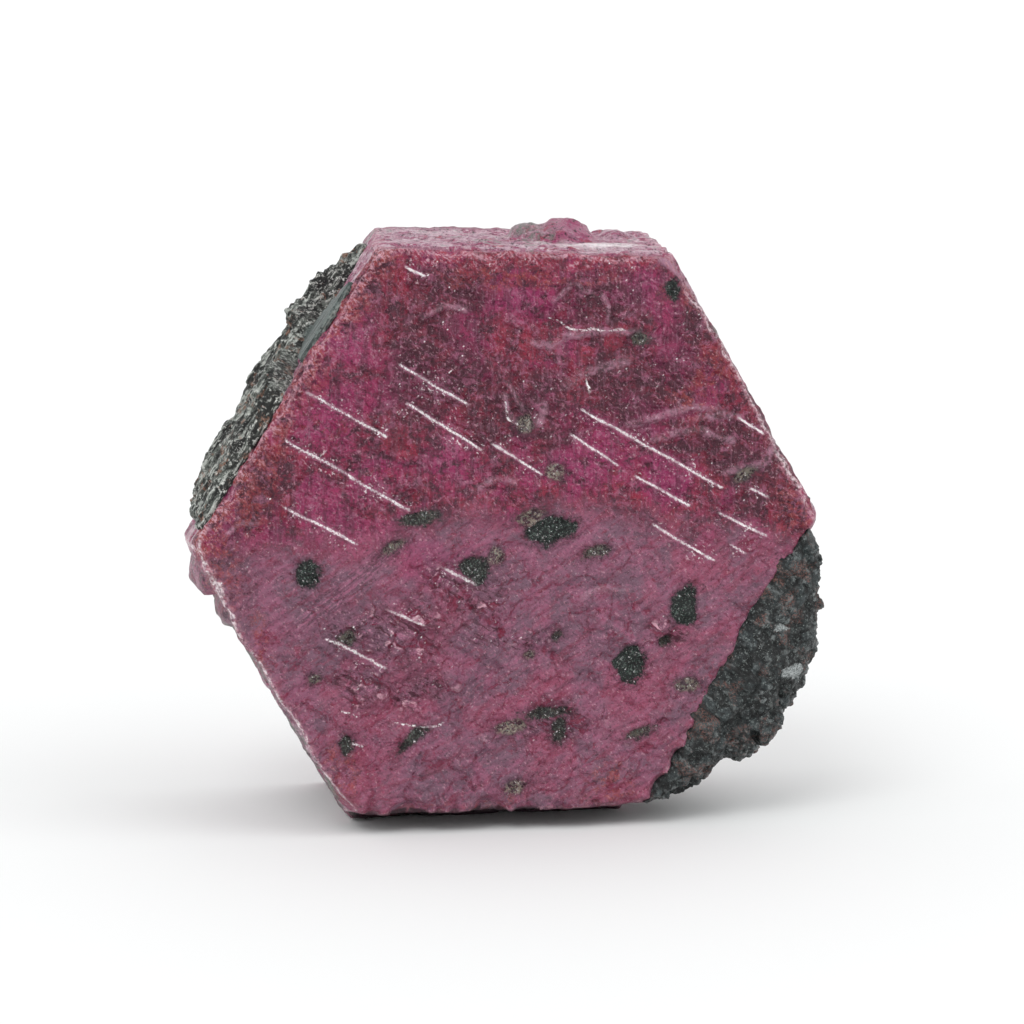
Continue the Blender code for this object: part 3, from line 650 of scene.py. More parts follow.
def tabletNet():
    # the closed net of the tablet: a six-sided front, a band of depth rows, a coarser back
    rows, depth = tablet["frontRows"], tablet["depthRows"]
    half = tablet["thickness"] / 2
    front = np.array(tablet["corners"])
    back = backCorners()
    middle = np.array(tablet["middle"])

    def onBasal(corners, ring, sector, step):
        a = corners[sector.astype(int) % 6]
        b = corners[(sector.astype(int) + 1) % 6]
        rim = a + (b - a) * step[:, None]
        return middle + (rim - middle) * ring[:, None]

    ring, sector, step, frontTriangles = hexRings(rows)
    flatFront = onBasal(front, ring, sector, step)
    frontPoints = trios(flatFront[:, 0], np.full(len(ring), -half), flatFront[:, 1])
    rim = ring == 1
    around = int(rim.sum())
    rimStart = len(ring) - around
    rimFront = flatFront[rim]
    rimBack = onBasal(back, ring[rim], sector[rim], step[rim])
    share = (np.arange(1, depth + 1) / depth) ** 1.25
    band = rimFront[None] + (rimBack - rimFront)[None] * share[:, None, None]
    y = np.broadcast_to((-half + 2 * half * share)[:, None], band.shape[:2])
    bandPoints = np.stack([band[..., 0], y, band[..., 1]], axis=-1).reshape(-1, 3)
    bandStart = len(frontPoints)
    columns = np.arange(around)
    following = (columns + 1) % around
    triangles = [frontTriangles]
    for row in range(depth):
        upper = rimStart if row == 0 else bandStart + (row - 1) * around
        lower = bandStart + row * around
        triangles.append(trios(upper + columns, lower + columns, lower + following))
        triangles.append(trios(upper + columns, lower + following, upper + following))
    ringB, sectorB, stepB, backTriangles = hexRings(rows // 2)
    flatBack = onBasal(back, ringB, sectorB, stepB)
    inner = ringB < 1
    # the back's own rim sits one small step inside the band's last row
    shrink = np.where(inner, 1.0, 0.995)[:, None]
    flatBack = middle + (flatBack - middle) * shrink
    backPoints = trios(flatBack[:, 0], np.full(len(ringB), half), flatBack[:, 1])
    backStart = bandStart + len(bandPoints)
    triangles.append(backTriangles[:, ::-1] + backStart)
    coarse = np.arange(around // 2)
    last = bandStart + (depth - 1) * around
    rimB = backStart + len(ringB) - around // 2
    a, b, c = last + 2 * coarse, last + 2 * coarse + 1, last + (2 * coarse + 2) % around
    d, e = rimB + coarse, rimB + (coarse + 1) % (around // 2)
    triangles += [trios(a, d, b), trios(b, d, e), trios(b, e, c)]
    points = np.concatenate([frontPoints, bandPoints, backPoints])
    return points, np.concatenate(triangles)


def settle(points, faces, chips):
    # moves every point of the net onto the skin, along the blended normal of the faces near it
    mains = faces[:mainPlanes]
    distance = np.array([(points - point) @ normal for point, normal, _ in mains])
    weight = np.exp(np.clip(distance, -9, 0) / 0.9)
    direction = np.tensordot(weight, np.array([face[1] for face in mains]), axes=(0, 0))
    direction /= np.linalg.norm(direction, axis=1)[:, None]
    moved = points.copy()
    for _ in range(5):
        f, gradient, _, _ = tabletField(moved, faces, chips)
        slope = np.maximum((gradient * direction).sum(axis=1), 0.45)
        moved -= direction * (f / slope)[:, None]
    return moved


def makeMesh(name, points, triangles, measures):
    # a mesh in metres with smooth shading and one number per point for each measure
    mesh = bpy.data.meshes.new(name)
    mesh.vertices.add(len(points))
    raised = (points + [0.0, 0.0, tablet["datum"]]) * mm
    mesh.vertices.foreach_set("co", raised.astype(np.float32).ravel())
    mesh.loops.add(triangles.size)
    mesh.loops.foreach_set("vertex_index", triangles.astype(np.int32).ravel())
    mesh.polygons.add(len(triangles))
    mesh.polygons.foreach_set("loop_start", np.arange(0, triangles.size, 3, dtype=np.int32))
    mesh.update(calc_edges=True)
    mesh.validate()
    for label, values in measures.items():
        layer = mesh.attributes.new(label, "FLOAT", "POINT")
        layer.data.foreach_set("value", np.asarray(values, np.float32))
    mesh.polygons.foreach_set("use_smooth", np.ones(len(triangles), bool))
    mesh.update()
    piece = bpy.data.objects.new(name, mesh)
    bpy.context.scene.collection.objects.link(piece)
    print(name, len(points), "points", len(triangles), "triangles")
    return piece


def buildRuby():
    faces, chips = tabletFaces(), edgeChips()
    points, triangles = tabletNet()
    points = settle(points, faces, chips)
    _, _, share, values = tabletField(points, faces, chips)
    x, y, z = points.T
    half = tablet["thickness"] / 2
    front, back = [ease(side * y, *[half - depth for depth in tablet["rim"]]) for side in (-1, 1)]
    (ax, az), (bx, bz) = tablet["corners"][1], tablet["corners"][2]
    topLine = az + (x - ax) * (bz - az) / (bx - ax)
    lx, lz = tablet["corners"][0]
    leftDepth = ((x - lx) * (az - lz) - (z - lz) * (ax - lx)) / math.hypot(ax - lx, az - lz)
    order = np.sort(values[:mainPlanes], axis=0)
    _, ledgeNear, ledgeBelow, ledgeClean = ledgeField(x, z)
    grainGap, grainPale = grainField(x, z)
    low = lowPart(x, z)
    scarLevel, scarSlope, _ = terraces(x, z, **highScars)
    plateGap, plateMark = plates(x, z, **lowPlates)
    chipGap, chipMark = plates(x, z, **smallPlates)
    brush = turned(x - scratches["middle"][0], z - scratches["middle"][1], scratches["turn"])
    measures = dict(
        front=front,
        edge=np.clip(order[-1] - order[-2], 0, 6),
        ledgeNear=np.where(front > 0.3, ledgeNear, 2.0),
        ledgeBelow=np.where(front > 0.3, ledgeBelow, 2.0),
        ledgeClean=ledgeClean * front,
        glintNear=np.where(front > 0.3, glintField(x, z), 2.0),
        grainGap=np.where(front > 0.3, grainGap, 3.0),
        grainPale=grainPale,
        low=low,
        scarLevel=scarLevel, scarSlope=scarSlope,
        plateGap=plateGap, plateMark=plateMark,
        chipGap=chipGap, chipMark=chipMark,
        chipFacet=share[planeOf["topBreak"]],
        ridge=ridgeField(x, z) * front,
        darker=spots(x, z, growth["darker"], 91) * front,
        hackly=spots(x, z, growth["hackly"], 97) * front,
        brushed=softPatch(brush[:, 0], brush[:, 2], "brushed") * front,
        purple=spots(x, z, growth["purple"], 93) * front,
        rusty=spots(x, z, growth["rusty"], 95) * front,
        topRim=front * ease(z - topLine, -1.5, -0.4) * ease(x, -9.0, -6.0) * ease(x, 9.5, 7.0),
        leftRim=front * ease(leftDepth, 1.7, 0.3),
        back=back,
        greenLump=softPatch(x, y, "greenLump") * (z > 36.2),
        redLump=softPatch(x, y, "redLump") * (z > 36.3),
        leftLumps=softPatch(x, z, "leftLumps") * (1 - front),
        topSheen=softPatch(x, y, "topSheen") * share[planeOf["top"]],
        lowerLeftFace=share[planeOf["lowerLeft"]] * ease(z, 16.0, 12.5),
        # painted shade on the rest face and the broken front foot
        underside=share[planeOf["rest"]] + share[planeOf["frontBreak"]] * ease(z, 0.3, -0.3),
        # where the rims take a painted highlight, partly wear
        wearAndHighlightEdge=np.maximum(ease(x, -9.5, -11.5) * ease(z, 20.0, 17.5),
                            0.6 * ease(x, 10.0, 12.0) * ease(z, 19.0, 21.0)),
    )
    return makeMesh("rubyCrystal", points, triangles, measures)


lump = dict(
    alongRows=340,
    roundRows=280,
    span=(-0.9, 22.0),
    # height over the lower right prism face at distances along it, from the right corner down
    heights=((-0.9, -1.2), (0.0, -0.8), (1.0, 0.1), (2.5, 1.7), (3.2, 2.6), (4.1, 3.2), (5.2, 3.8),
             (6.0, 4.4), (6.9, 4.9), (7.9, 5.2), (8.8, 5.4), (9.9, 5.4), (12.2, 5.3), (13.3, 5.1),
             (14.5, 4.95), (16.3, 3.8), (17.2, 3.2), (18.1, 3.0), (19.7, 2.6), (21.2, 1.1), (22.0, -0.9)),
    # how far back it reaches at distances along the face
    backs=((-0.9, 1.0), (1.0, 3.6), (4.0, 5.6), (8.0, 6.0), (13.0, 5.4), (17.0, 4.0), (20.0, 2.0),
           (22.0, 0.0)),
    front=-9.12,
    root=-1.5,
    square=0.42,  # the power q of the squared ring
    # sizes of the blocks, the grains and the finest grains
    block=2.3,
    grain=0.9,
    fine=0.36,
    # the two pale feldspar grains: middle and half sizes
    feldspar=((18.5, -8.2, 8.8), (0.9, 1.4, 0.5)),
    smallFeldspar=((17.7, -9.0, 12.0), (0.7, 0.8, 0.4)),
)


def along(pairs, s, round=0.35):
    # a value read off a list of (distance, value), averaged over a short length to round its bends
    at, values = [p[0] for p in pairs], [p[1] for p in pairs]
    shifts = np.linspace(-round, round, 5)
    return sum(np.interp(s + shift, at, values) for shift in shifts) / 5


def loopNet(rows, around):
    # triangles of a tube of `rows` closed loops, with a fan over each end
    i, j = grid(rows - 1, around)
    k = (j + 1) % around
    a, b, c, d = i * around + j, i * around + k, (i + 1) * around + k, (i + 1) * around + j
    j, k = j[:around], k[:around]
    first, last = np.full(around, rows * around), np.full(around, rows * around + 1)
    end = (rows - 1) * around
    return np.concatenate([trios(a, d, c), trios(a, c, b),
                           trios(first, j, k), trios(last, end + k, end + j)])


def pushOut(points, triangles, amount):
    # moves each point along the mean normal of its triangles
    a, b, c = points[triangles[:, 0]], points[triangles[:, 1]], points[triangles[:, 2]]
    face = np.cross(b - a, c - a)
    normal = np.zeros_like(points)
    for corner in range(3):
        for axis in range(3):
            normal[:, axis] += np.bincount(triangles[:, corner], face[:, axis], len(points))
    normal /= np.maximum(np.linalg.norm(normal, axis=1), 1e-12)[:, None]
    return points + normal * amount[:, None]


def buildLump():
    # a squared ring carried down the prism face: at each distance along it the section is
    # y = middle - reach * sign(cos) |cos|^q and height = root + rise * sin^q, its root in the ruby
    point, normal, edge = sidePlane(3)
    rows, around = lump["alongRows"], lump["roundRows"]
    s = np.linspace(*lump["span"], rows)
    high = along(lump["heights"], s)
    back = along(lump["backs"], s, 1.0)
    middle, reach = (lump["front"] + back) / 2, (back - lump["front"]) / 2
    angle = np.linspace(0, 2 * np.pi, around, endpoint=False)
    bow = np.sign(np.cos(angle)) * np.abs(np.cos(angle)) ** lump["square"]
    lean = np.clip(np.sin(angle), 0, None) ** lump["square"]
    dip = np.clip(-np.sin(angle), 0, None) ** lump["square"]
    y = middle[:, None] - reach[:, None] * bow[None]
    # the section is highest near the front and falls away towards the back
    fall = 1 - 0.35 * ease(y, -4.0, 6.0)
    up = lean[None] * (high - lump["root"])[:, None] * fall + lump["root"] - 0.4 * dip[None]
    run = np.broadcast_to(s[:, None], y.shape)
    spots = point + edge * run[..., None]
    spots[..., 1] = y
    spots = spots + normal * (up - ((spots - point) @ normal))[..., None]
    points = spots.reshape(-1, 3)
    ends = np.array([points[:around].mean(axis=0), points[-around:].mean(axis=0)])
    points = np.concatenate([points, ends])
    triangles = loopNet(rows, around)
    # blocks, then grains, then grit, pushed out along the surface; the front stays nearly flat
    flush = ease(points[:, 1], -8.9, -8.2)
    block, blockNext, blockMark = grainCells(points * np.array([1, 0.7, 1]), lump["block"], 505)
    swell = 0.35 * cloud(points, 5.0, 3, 501) + 1.2 * (blockMark - 0.5) * ease(blockNext - block, 0.0, 0.25)
    calm = 0.2 + 0.8 * ease((points - point) @ edge, 0.6, 2.4)
    points = pushOut(points, triangles, swell * (0.45 + 0.55 * flush) * calm)
    first, second, mark = grainCells(points, lump["grain"], 511)
    fine, fineNext, fineMark = grainCells(points, lump["fine"], 521)
    bump = 0.5 * (mark - 0.5) * ease(second - first, 0.0, 0.35)
    bump += 0.24 * (fineMark - 0.5) * ease(fineNext - fine, 0.0, 0.4) + 0.10 * cloud(points, 0.4, 2, 531)
    points = pushOut(points, triangles, bump * (0.7 + 0.3 * flush) * calm)
    sink = ease(beyondLump(points[:, 0], points[:, 2]), 0.12, -0.12) * (points[:, 1] < -8.0)
    points[:, 1] = np.maximum(points[:, 1], -9.3) + 0.75 * sink
    points[:, 2] = np.maximum(points[:, 2], 0.1)
    spots = points + 0.5 * np.stack([cloud(points, 1.0, 3, 541 + k) for k in range(3)], axis=1)
    pale, palest = [np.linalg.norm((spots - middle) / halves, axis=1)
                    for middle, halves in (lump["feldspar"], lump["smallFeldspar"])]
    pale = np.minimum(pale, palest + 0.35) - 1
    measures = dict(grain=mark, fleck=fineMark, seam=(second - first) * lump["grain"], palest=pale)
    return makeMesh("schistLump", points, triangles, measures)


crust = dict(
    alongRows=350,
    acrossRows=240,
    span=(0.4, 22.5),
    depth=(-8.85, 8.55),
    floor=-2.6,
    hub=(11.0, 0.0),  # distance along the face and depth of the floor's one middle point
    # how far forward the crust reaches at distances along the upper left face, from the left corner
    frontLimit=((0, -7.8), (1.5, -8.7), (11.4, -8.6), (12.4, -6.8), (13.2, -3.6), (14.6, -1.0),
                (16.0, 0.6), (18.0, 2.2), (20.0, 2.8), (22.4, 3.2)),
    # a thin flat slab beside the front edge: how far back it reaches
    slabBack=((13.4, -6.0), (14.6, -1.0), (15.6, 1.4), (17.4, -1.0), (19.8, -7.6), (20.2, -9.0)),
    # broad thickness along the face
    bulk=((-0.4, 0.0), (0.7, 0.35), (1.7, 0.6), (2.6, 0.95), (3.8, 1.05), (4.7, 1.4), (5.9, 1.45),
          (7.0, 1.55), (8.3, 1.35), (9.4, 1.4), (10.4, 1.7), (11.6, 1.75), (12.8, 1.6), (15.0, 1.55),
          (15.9, 2.2), (17.4, 1.75), (18.6, 1.75), (19.9, 1.3), (21.1, 0.8), (22.0, 0.45), (22.6, 0.3)),
    leafStep=0.30,
)


def crustHeight(s, y):
    # thickness of the crust over the prism face: broad thickness inside a ragged outline, counted
    # off in thin leaves that are drawn out along the face
    flatAway = np.zeros_like(s)
    ragged = cloud(trios(s, y, flatAway), 2.4, 3, 601)
    inside = np.minimum(y - along(crust["frontLimit"], s, 0.3), 8.5 - y) + 0.35 * ragged
    inside = np.minimum(inside, np.minimum(s - 0.9, 22.9 - s) * 1.2 + 0.4 * ragged)
    body = ease(inside, -0.05, 0.55)
    drawn = trios(s / 5.0, y, flatAway)
    level = along(crust["bulk"], s, 0.15) - 0.3 + 0.42 * cloud(drawn, 2.2, 3, 611)
    level += 0.3 * cloud(drawn, 0.8, 2, 613) - 0.5 * ease(y, -5.0, -8.5)
    stack = level / crust["leafStep"]
    whole = np.floor(stack)
    rise = stack - whole
    leaved = (whole + ease(rise, 0.0, 0.3)) * crust["leafStep"]
    fibre = trios(s / 3.5, y, flatAway)
    first, second, mark = grainCells(trios(s * 0.6, y, flatAway), 0.8, 617)
    height = -0.5 + body * (0.5 + np.clip(leaved, 0.08, None))
    height += body * (0.20 * cloud(fibre, 0.5, 3, 621) + 0.34 * (mark - 0.5) * ease(second - first, 0, 0.3))
    insideSlab = np.minimum(along(crust["slabBack"], s, 0.1) - y, y + 8.4) + 0.15 * ragged
    slab = ease(np.minimum(insideSlab, s - 13.6), -0.05, 0.3)
    height = np.maximum(height, -0.5 + slab * (0.92 + 0.06 * cloud(fibre, 0.9, 2, 623)))
    height -= 1.7 * ease(np.maximum(inside, insideSlab), 0.0, -1.0)
    slab *= ease(height, 0.75, 0.55)
    return height, rise, slab


def buildCrust():
    # a skin over the prism face with its own underside inside the crystal
    point, normal, edge = sidePlane(0)
    n, m = crust["alongRows"], crust["acrossRows"]
    i, j = grid(n, m)
    s, y = np.linspace(*crust["span"], n)[i], np.linspace(*crust["depth"], m)[j]
    height, leafRise, slab = crustHeight(s, y)

    def lift(s, y, height):
        spots = point + edge * s[:, None]
        spots[:, 1] = y
        return spots + normal * (height - (spots - point) @ normal)[:, None]

    top = lift(s, y, height)
    i, j = grid(n - 1, m - 1)
    a = i * m + j
    b, c, d = a + 1, a + m + 1, a + m
    # the rim of the top is carried down to a floor with one middle point
    rim = np.concatenate([np.arange(m), np.arange(2 * m - 1, n * m, m),
                          np.arange(n * m - 2, (n - 1) * m - 1, -1), np.arange((n - 2) * m, 0, -m)])
    low = lift(s[rim], y[rim], np.full(len(rim), crust["floor"]))
    hub = lift(*[np.array([value]) for value in (*crust["hub"], crust["floor"])])
    start = len(top)
    k = np.arange(len(rim))
    following = (k + 1) % len(rim)
    triangles = np.concatenate([
        trios(a, c, b), trios(a, d, c),
        trios(rim, rim[following], start + following), trios(rim, start + following, start + k),
        trios(start + k, start + following, np.full(len(rim), start + len(rim)))])
    points = np.concatenate([top, low, hub])
    a, b, c = points[triangles[0]]
    if np.cross(b - a, c - a) @ normal < 0:
        triangles = triangles[:, ::-1]
    # what is hidden in the crystal keeps well behind the front face
    sunk = (points - point) @ normal
    points[:, 1] = np.clip(points[:, 1], -9.2 + 2.2 * ease(sunk, 0.1, -0.5), 9.1)
    extra = np.zeros(len(rim) + 1)
    measures = dict(rise=np.r_[leafRise, extra], slab=np.r_[slab, extra])
    return makeMesh("schistCrust", points, triangles, measures)


def tone(red, green, blue):
    # a display colour from 0 to 255 as the linear colour that a shader takes
    c = np.array([red, green, blue]) / 255.0
    linear = np.where(c <= 0.04045, c / 12.92, ((c + 0.055) / 1.055) ** 2.4)
    return (*[float(v) for v in linear], 1.0)


class Wire:
    # a socket that takes part in sums: each operator adds one Math node
    def __init__(self, paint, socket):
        self.paint, self.socket = paint, socket

    def maths(self, operation, *terms):
        return self.paint.node("ShaderNodeMath", dict(operation=operation), dict(enumerate(terms)))

    __add__ = __radd__ = lambda self, other: self.maths("ADD", self, other)
    __sub__ = lambda self, other: self.maths("SUBTRACT", self, other)
    __rsub__ = lambda self, other: self.maths("SUBTRACT", other, self)
    __mul__ = __rmul__ = lambda self, other: self.maths("MULTIPLY", self, other)
    __truediv__ = lambda self, other: self.maths("DIVIDE", self, other)
    larger = lambda self, other: self.maths("MAXIMUM", self, other)

    def ease(self, low, high):
        # 0 at low and 1 at high, with a smooth step between
        return self.paint.node("ShaderNodeMapRange", dict(interpolation_type="SMOOTHSTEP"),
                               {"Value": self, "From Min": low, "From Max": high})


class Paint:
    # one material, the nodes that lead to its Principled shader, and its colours by name
    def __init__(self, name, look):
        self.look = look
        self.material = bpy.data.materials.new(name)
        self.material.use_nodes = True
        self.tree = self.material.node_tree
        self.shader = self.tree.nodes["Principled BSDF"]
        self.place = self.node("ShaderNodeTexCoord", {}, {}, "Object")

    def join(self, value, socket):
        # links a wire to a socket, or gives the socket a value or a named colour
        if isinstance(value, Wire):
            self.tree.links.new(value.socket, socket)
        else:
            socket.default_value = self.look[value] if isinstance(value, str) else value

    def node(self, kind, settings, sockets, output=0):
        made = self.tree.nodes.new(kind)
        for key, value in settings.items():
            setattr(made, key, value)
        for key, value in sockets.items():
            self.join(value, made.inputs[key])
        return Wire(self, made.outputs[output])

    def set(self, **values):
        for key, value in values.items():
            self.join(value, self.shader.inputs[key.replace("_", " ")])

    def field(self, name):
        # the number that the mesh carries under a name
        return self.node("ShaderNodeAttribute", dict(attribute_name=name), {}, "Fac")

    def spot(self, turn=(0, 0, 0), stretch=(1, 1, 1)):
        # object position in millimetres in turned axes, each axis drawn out by its stretch
        return self.node("ShaderNodeMapping", dict(vector_type="TEXTURE"),
                         {"Vector": self.place, "Rotation": turn,
                          "Scale": tuple(k * mm for k in stretch)})

    def basal(self, degrees, stretch):
        # position drawn out along a direction in the basal plane
        return self.spot((0, -math.radians(degrees), 0), (stretch, 1, 1))

    def lineGap(self, name, wobble):
        # signed distance from the nearest whole level of a counted field, in millimetres
        level = self.field(name + "Level") + wobble
        return (level - level.maths("ROUND", level)) / self.field(name + "Slope")

    def noise(self, where, size, detail=3.0, rough=0.55, twist=0.0):
        return self.node("ShaderNodeTexNoise", dict(noise_dimensions="3D"),
                         {"Vector": where, "Scale": 1 / size, "Detail": detail,
                          "Roughness": rough, "Distortion": twist})

    def cells(self, where, size, output="Distance"):
        return self.node("ShaderNodeTexVoronoi", {}, {"Vector": where, "Scale": 1 / size}, output)

    def mix(self, share, first, second):
        return self.node("ShaderNodeMix", dict(data_type="RGBA"), {0: share, 6: first, 7: second}, 2)

    def coats(self, colour, *coats):
        # colours laid one over another, each as its share and its colour
        for share, coat in coats:
            colour = self.mix(share, colour, coat)
        return colour

    def bump(self, height, strength=1.0):
        return self.node("ShaderNodeBump", {},
                         {"Strength": strength, "Distance": 1.0 * mm, "Height": height}, "Normal")


rubyLook = dict(
    wine=tone(126, 30, 58),
    deepWine=tone(66, 18, 36),
    crimson=tone(152, 34, 58),
    magenta=tone(146, 42, 92),
    plum=tone(66, 32, 48),
    brick=tone(148, 64, 58),
    haze=tone(164, 99, 127),
    mauve=tone(144, 86, 111),
    greyMauve=tone(118, 84, 102),
    pinkRed=tone(154, 78, 104),
    crack=tone(116, 10, 48),
    lightPink=tone(206, 158, 172),
    ridge=tone(164, 114, 136),
    lilac=tone(198, 166, 180),
    lilacShade=tone(158, 112, 134),
    white=tone(250, 244, 246),
    grainDark=tone(20, 27, 25),
    grainPale=tone(168, 152, 138),
    greenGrey=tone(98, 112, 104),
    skinGreen=tone(110, 118, 108),
    black=tone(22, 8, 16),
)


def rubyNoises(paint):
    # the noises that the ruby's colours share, from broad to fine, then those drawn out along the
    # vertical, along the two growth directions and parallel to the basal faces
    spot = paint.spot()
    cross, strike = growth["cross"], growth["strike"]
    return SimpleNamespace(
        patch=paint.noise(spot, 5.5, 3.0, 0.55, 1.0),
        blotch=paint.noise(spot, 2.2, 4.0, 0.62, 0.6),
        wisp=paint.noise(spot, 1.3, 5.0, 0.68, 1.8),
        mottle=paint.noise(paint.spot(stretch=(1, 1, 0.8)), 0.75, 4.0, 0.72, 0.5),
        veil=paint.noise(paint.spot((0, 0.5, 0), (1.5, 1, 1)), 0.55, 5.0, 0.7, 1.4),
        speck=paint.noise(spot, 0.32, 4.0, 0.75),
        grime=paint.noise(paint.spot((0, 0.9, 0), (1.6, 1, 1)), 0.17, 3.0, 0.7),
        grit=paint.noise(spot, 0.13, 3.0, 0.7),
        drip=paint.noise(paint.spot(stretch=(0.6, 1, 5)), 0.8, 3.0, 0.6),
        hair=paint.noise(paint.spot(stretch=(1, 1, 9)), 0.16, 3.0, 0.65),
        climb=paint.noise(paint.basal(cross, 7.0), 0.5, 3.0, 0.6),
        comb=paint.noise(paint.basal(cross - 4.0, 9.0), 0.15, 3.0, 0.65),
        strike=paint.noise(paint.basal(strike, 5.0), 0.45, 3.0, 0.6),
        torn=paint.noise(paint.basal(strike, 4.0), 0.32, 3.0, 0.6, 0.6),
        streak=paint.noise(paint.spot(stretch=(7, 1, 7)), 0.9, 4.0, 0.62, 0.3),
        vein=paint.noise(paint.spot(stretch=(6, 1, 6)), 0.5, 3.0, 0.6, 0.4),
    )


def upperColour(paint, n):
    # wine red clouded with crimson and magenta, plum in the deep patches, a lilac haze
    return paint.coats(
        paint.mix(n.mottle.ease(0.42, 0.57), "deepWine", "wine"),
        (n.blotch.ease(0.46, 0.58) * 0.65, "crimson"),
        ((n.patch + 0.3 * (n.blotch - 0.5)).ease(0.49, 0.58) * 0.7, "magenta"),
        (paint.field("purple") * n.mottle.ease(0.36, 0.52) * 0.85, "magenta"),
        (n.drip.ease(0.50, 0.62) * 0.5, "plum"),
        (paint.field("darker") * (0.55 + 0.45 * n.mottle.ease(0.60, 0.46)), "deepWine"),
        (n.wisp.ease(0.54, 0.64) * 0.5, "haze"),
        (n.veil.ease(0.55, 0.63) * 0.5, "haze"),
        (n.veil.ease(0.46, 0.37) * 0.6, "deepWine"),
        (n.hair.ease(0.53, 0.64) * 0.25, "ridge"),
        (n.hair.ease(0.46, 0.36) * 0.3, "plum"),
    )


def lowerColour(paint, n):
    # a dusty mauve skin, its paleness partly a painted sheen, greyer and pinker in turns, deeper red where
    # it has flaked
    hackly, darker = paint.field("hackly"), paint.field("darker")
    plateMark, chipMark = paint.field("plateMark"), paint.field("chipMark")
    greyer = hackly.larger(darker) * (0.35 + 0.65 * n.mottle.ease(0.58, 0.44))
    return paint.coats(
        paint.mix(n.blotch.ease(0.42, 0.58), "greyMauve", "mauve"),
        (n.patch.ease(0.48, 0.60) * 0.75, "pinkRed"),
        (plateMark.ease(0.70, 0.80) * n.mottle.ease(0.40, 0.52) * 0.4, "greyMauve"),
        (chipMark.ease(0.22, 0.12) * n.speck.ease(0.42, 0.54) * hackly, "wine"),
        (n.climb.ease(0.50, 0.64) * 0.4, "greyMauve"),
        (n.climb.ease(0.47, 0.36) * 0.4, "wine"),
        (n.mottle.ease(0.44, 0.32) * 0.7, "wine"),
        (n.wisp.ease(0.55, 0.66) * 0.4, "haze"),
        (n.veil.ease(0.54, 0.64) * 0.4, "haze"),
        (n.comb.ease(0.52, 0.64) * 0.18, "haze"),
        (n.comb.ease(0.47, 0.35) * 0.2, "plum"),
        (paint.field("purple") * 0.4, "magenta"),
        (greyer * 0.7, paint.mix(n.speck.ease(0.40, 0.60), "plum", "greyMauve")),
        (n.torn.ease(0.53, 0.60) * hackly * 0.85, "deepWine"),
        (n.torn.ease(0.42, 0.37) * hackly * n.speck.ease(0.44, 0.54) * 0.7, "haze"),
    )


def sideColour(paint, n, lower):
    # pale lilac streaked parallel to the basal faces, its paleness partly a painted sheen, white specks of
    # painted glints, a pale patch of painted reflection with green and magenta lumps on the top, a greenish
    # skin on the lower left, a back like the lower part, stained left lumps
    skin = paint.mix(n.streak.ease(0.42, 0.60), "skinGreen", "greyMauve")
    skin = paint.mix(n.speck.ease(0.52, 0.68) * 0.6, skin, "lilac")
    stained = paint.mix(n.mottle.ease(0.42, 0.56), "plum", "mauve")
    stained = paint.mix(n.speck.ease(0.52, 0.60) * 0.7, stained, "brick")
    return paint.coats(
        paint.mix(n.streak.ease(0.42, 0.58), "lilacShade", "lilac"),
        (n.blotch.ease(0.46, 0.56) * n.mottle.ease(0.44, 0.54), "magenta"),
        (n.streak.ease(0.46, 0.38) * n.mottle.ease(0.48, 0.56) * 0.9, "crimson"),
        (n.vein.ease(0.54, 0.61) * 0.8, "magenta"),
        (n.speck.ease(0.48, 0.36) * 0.85, "plum"),
        # white specks: painted glints
        (n.speck.ease(0.54, 0.66) * 0.5, "white"),
        (n.patch.ease(0.46, 0.38) * n.mottle.ease(0.52, 0.40) * 0.8, "skinGreen"),
        # a pale patch on the top: painted reflection
        (paint.field("topSheen") * n.mottle.ease(0.34, 0.50) * 0.8, "white"),
        (paint.field("redLump") * n.speck.ease(0.38, 0.52), "magenta"),
        (paint.field("greenLump") * n.speck.ease(0.62, 0.46), "greenGrey"),
        (paint.field("lowerLeftFace") * n.patch.ease(0.36, 0.50), skin),
        (paint.field("back"), lower),
        (paint.field("leftLumps") * 0.8, stained),
    )


def edgeColour(paint, n, colour, wearAndHighlight):
    # smooth pale ridges, rust along edges and corners, crumbs below the top edge and along the upper
    # left one, fine pepper and salt, a painted highlight of pale pink along the edges, and white rims that
    # are painted highlight and partly wear
    edge = paint.field("edge")
    rust = paint.field("rusty").larger(edge.ease(1.0, 0.2) * 0.3)
    crumbs = paint.field("topRim") * n.speck.ease(0.44, 0.56) * n.wisp.ease(0.42, 0.54)
    shed = paint.field("leftRim") * (n.mottle + 0.4 * (n.speck - 0.5)).ease(0.46, 0.56)
    return paint.coats(
        colour,
        (paint.field("ridge") * n.wisp.ease(0.40, 0.60) * 0.7, "ridge"),
        (rust * n.mottle.ease(0.44, 0.58) * n.grime.ease(0.34, 0.60) * 0.8, "brick"),
        (crumbs, paint.mix(n.grime.ease(0.48, 0.62), "crimson", "lightPink")),
        (shed * 0.7, paint.mix(n.grime.ease(0.46, 0.58), "brick", "lightPink")),
        (n.grit.ease(0.46, 0.34) * 0.45, "black"),
        (n.speck.ease(0.43, 0.33) * 0.5, "black"),
        (n.grime.ease(0.57, 0.70) * 0.5, "lightPink"),
        # pale pink along every edge: a painted highlight
        (edge.ease(0.5, 0.06) * n.grime.ease(0.40, 0.56) * 0.6, "lightPink"),
        # white on the rims: a painted highlight, partly wear
        (wearAndHighlight * 0.7, "white"),
    )


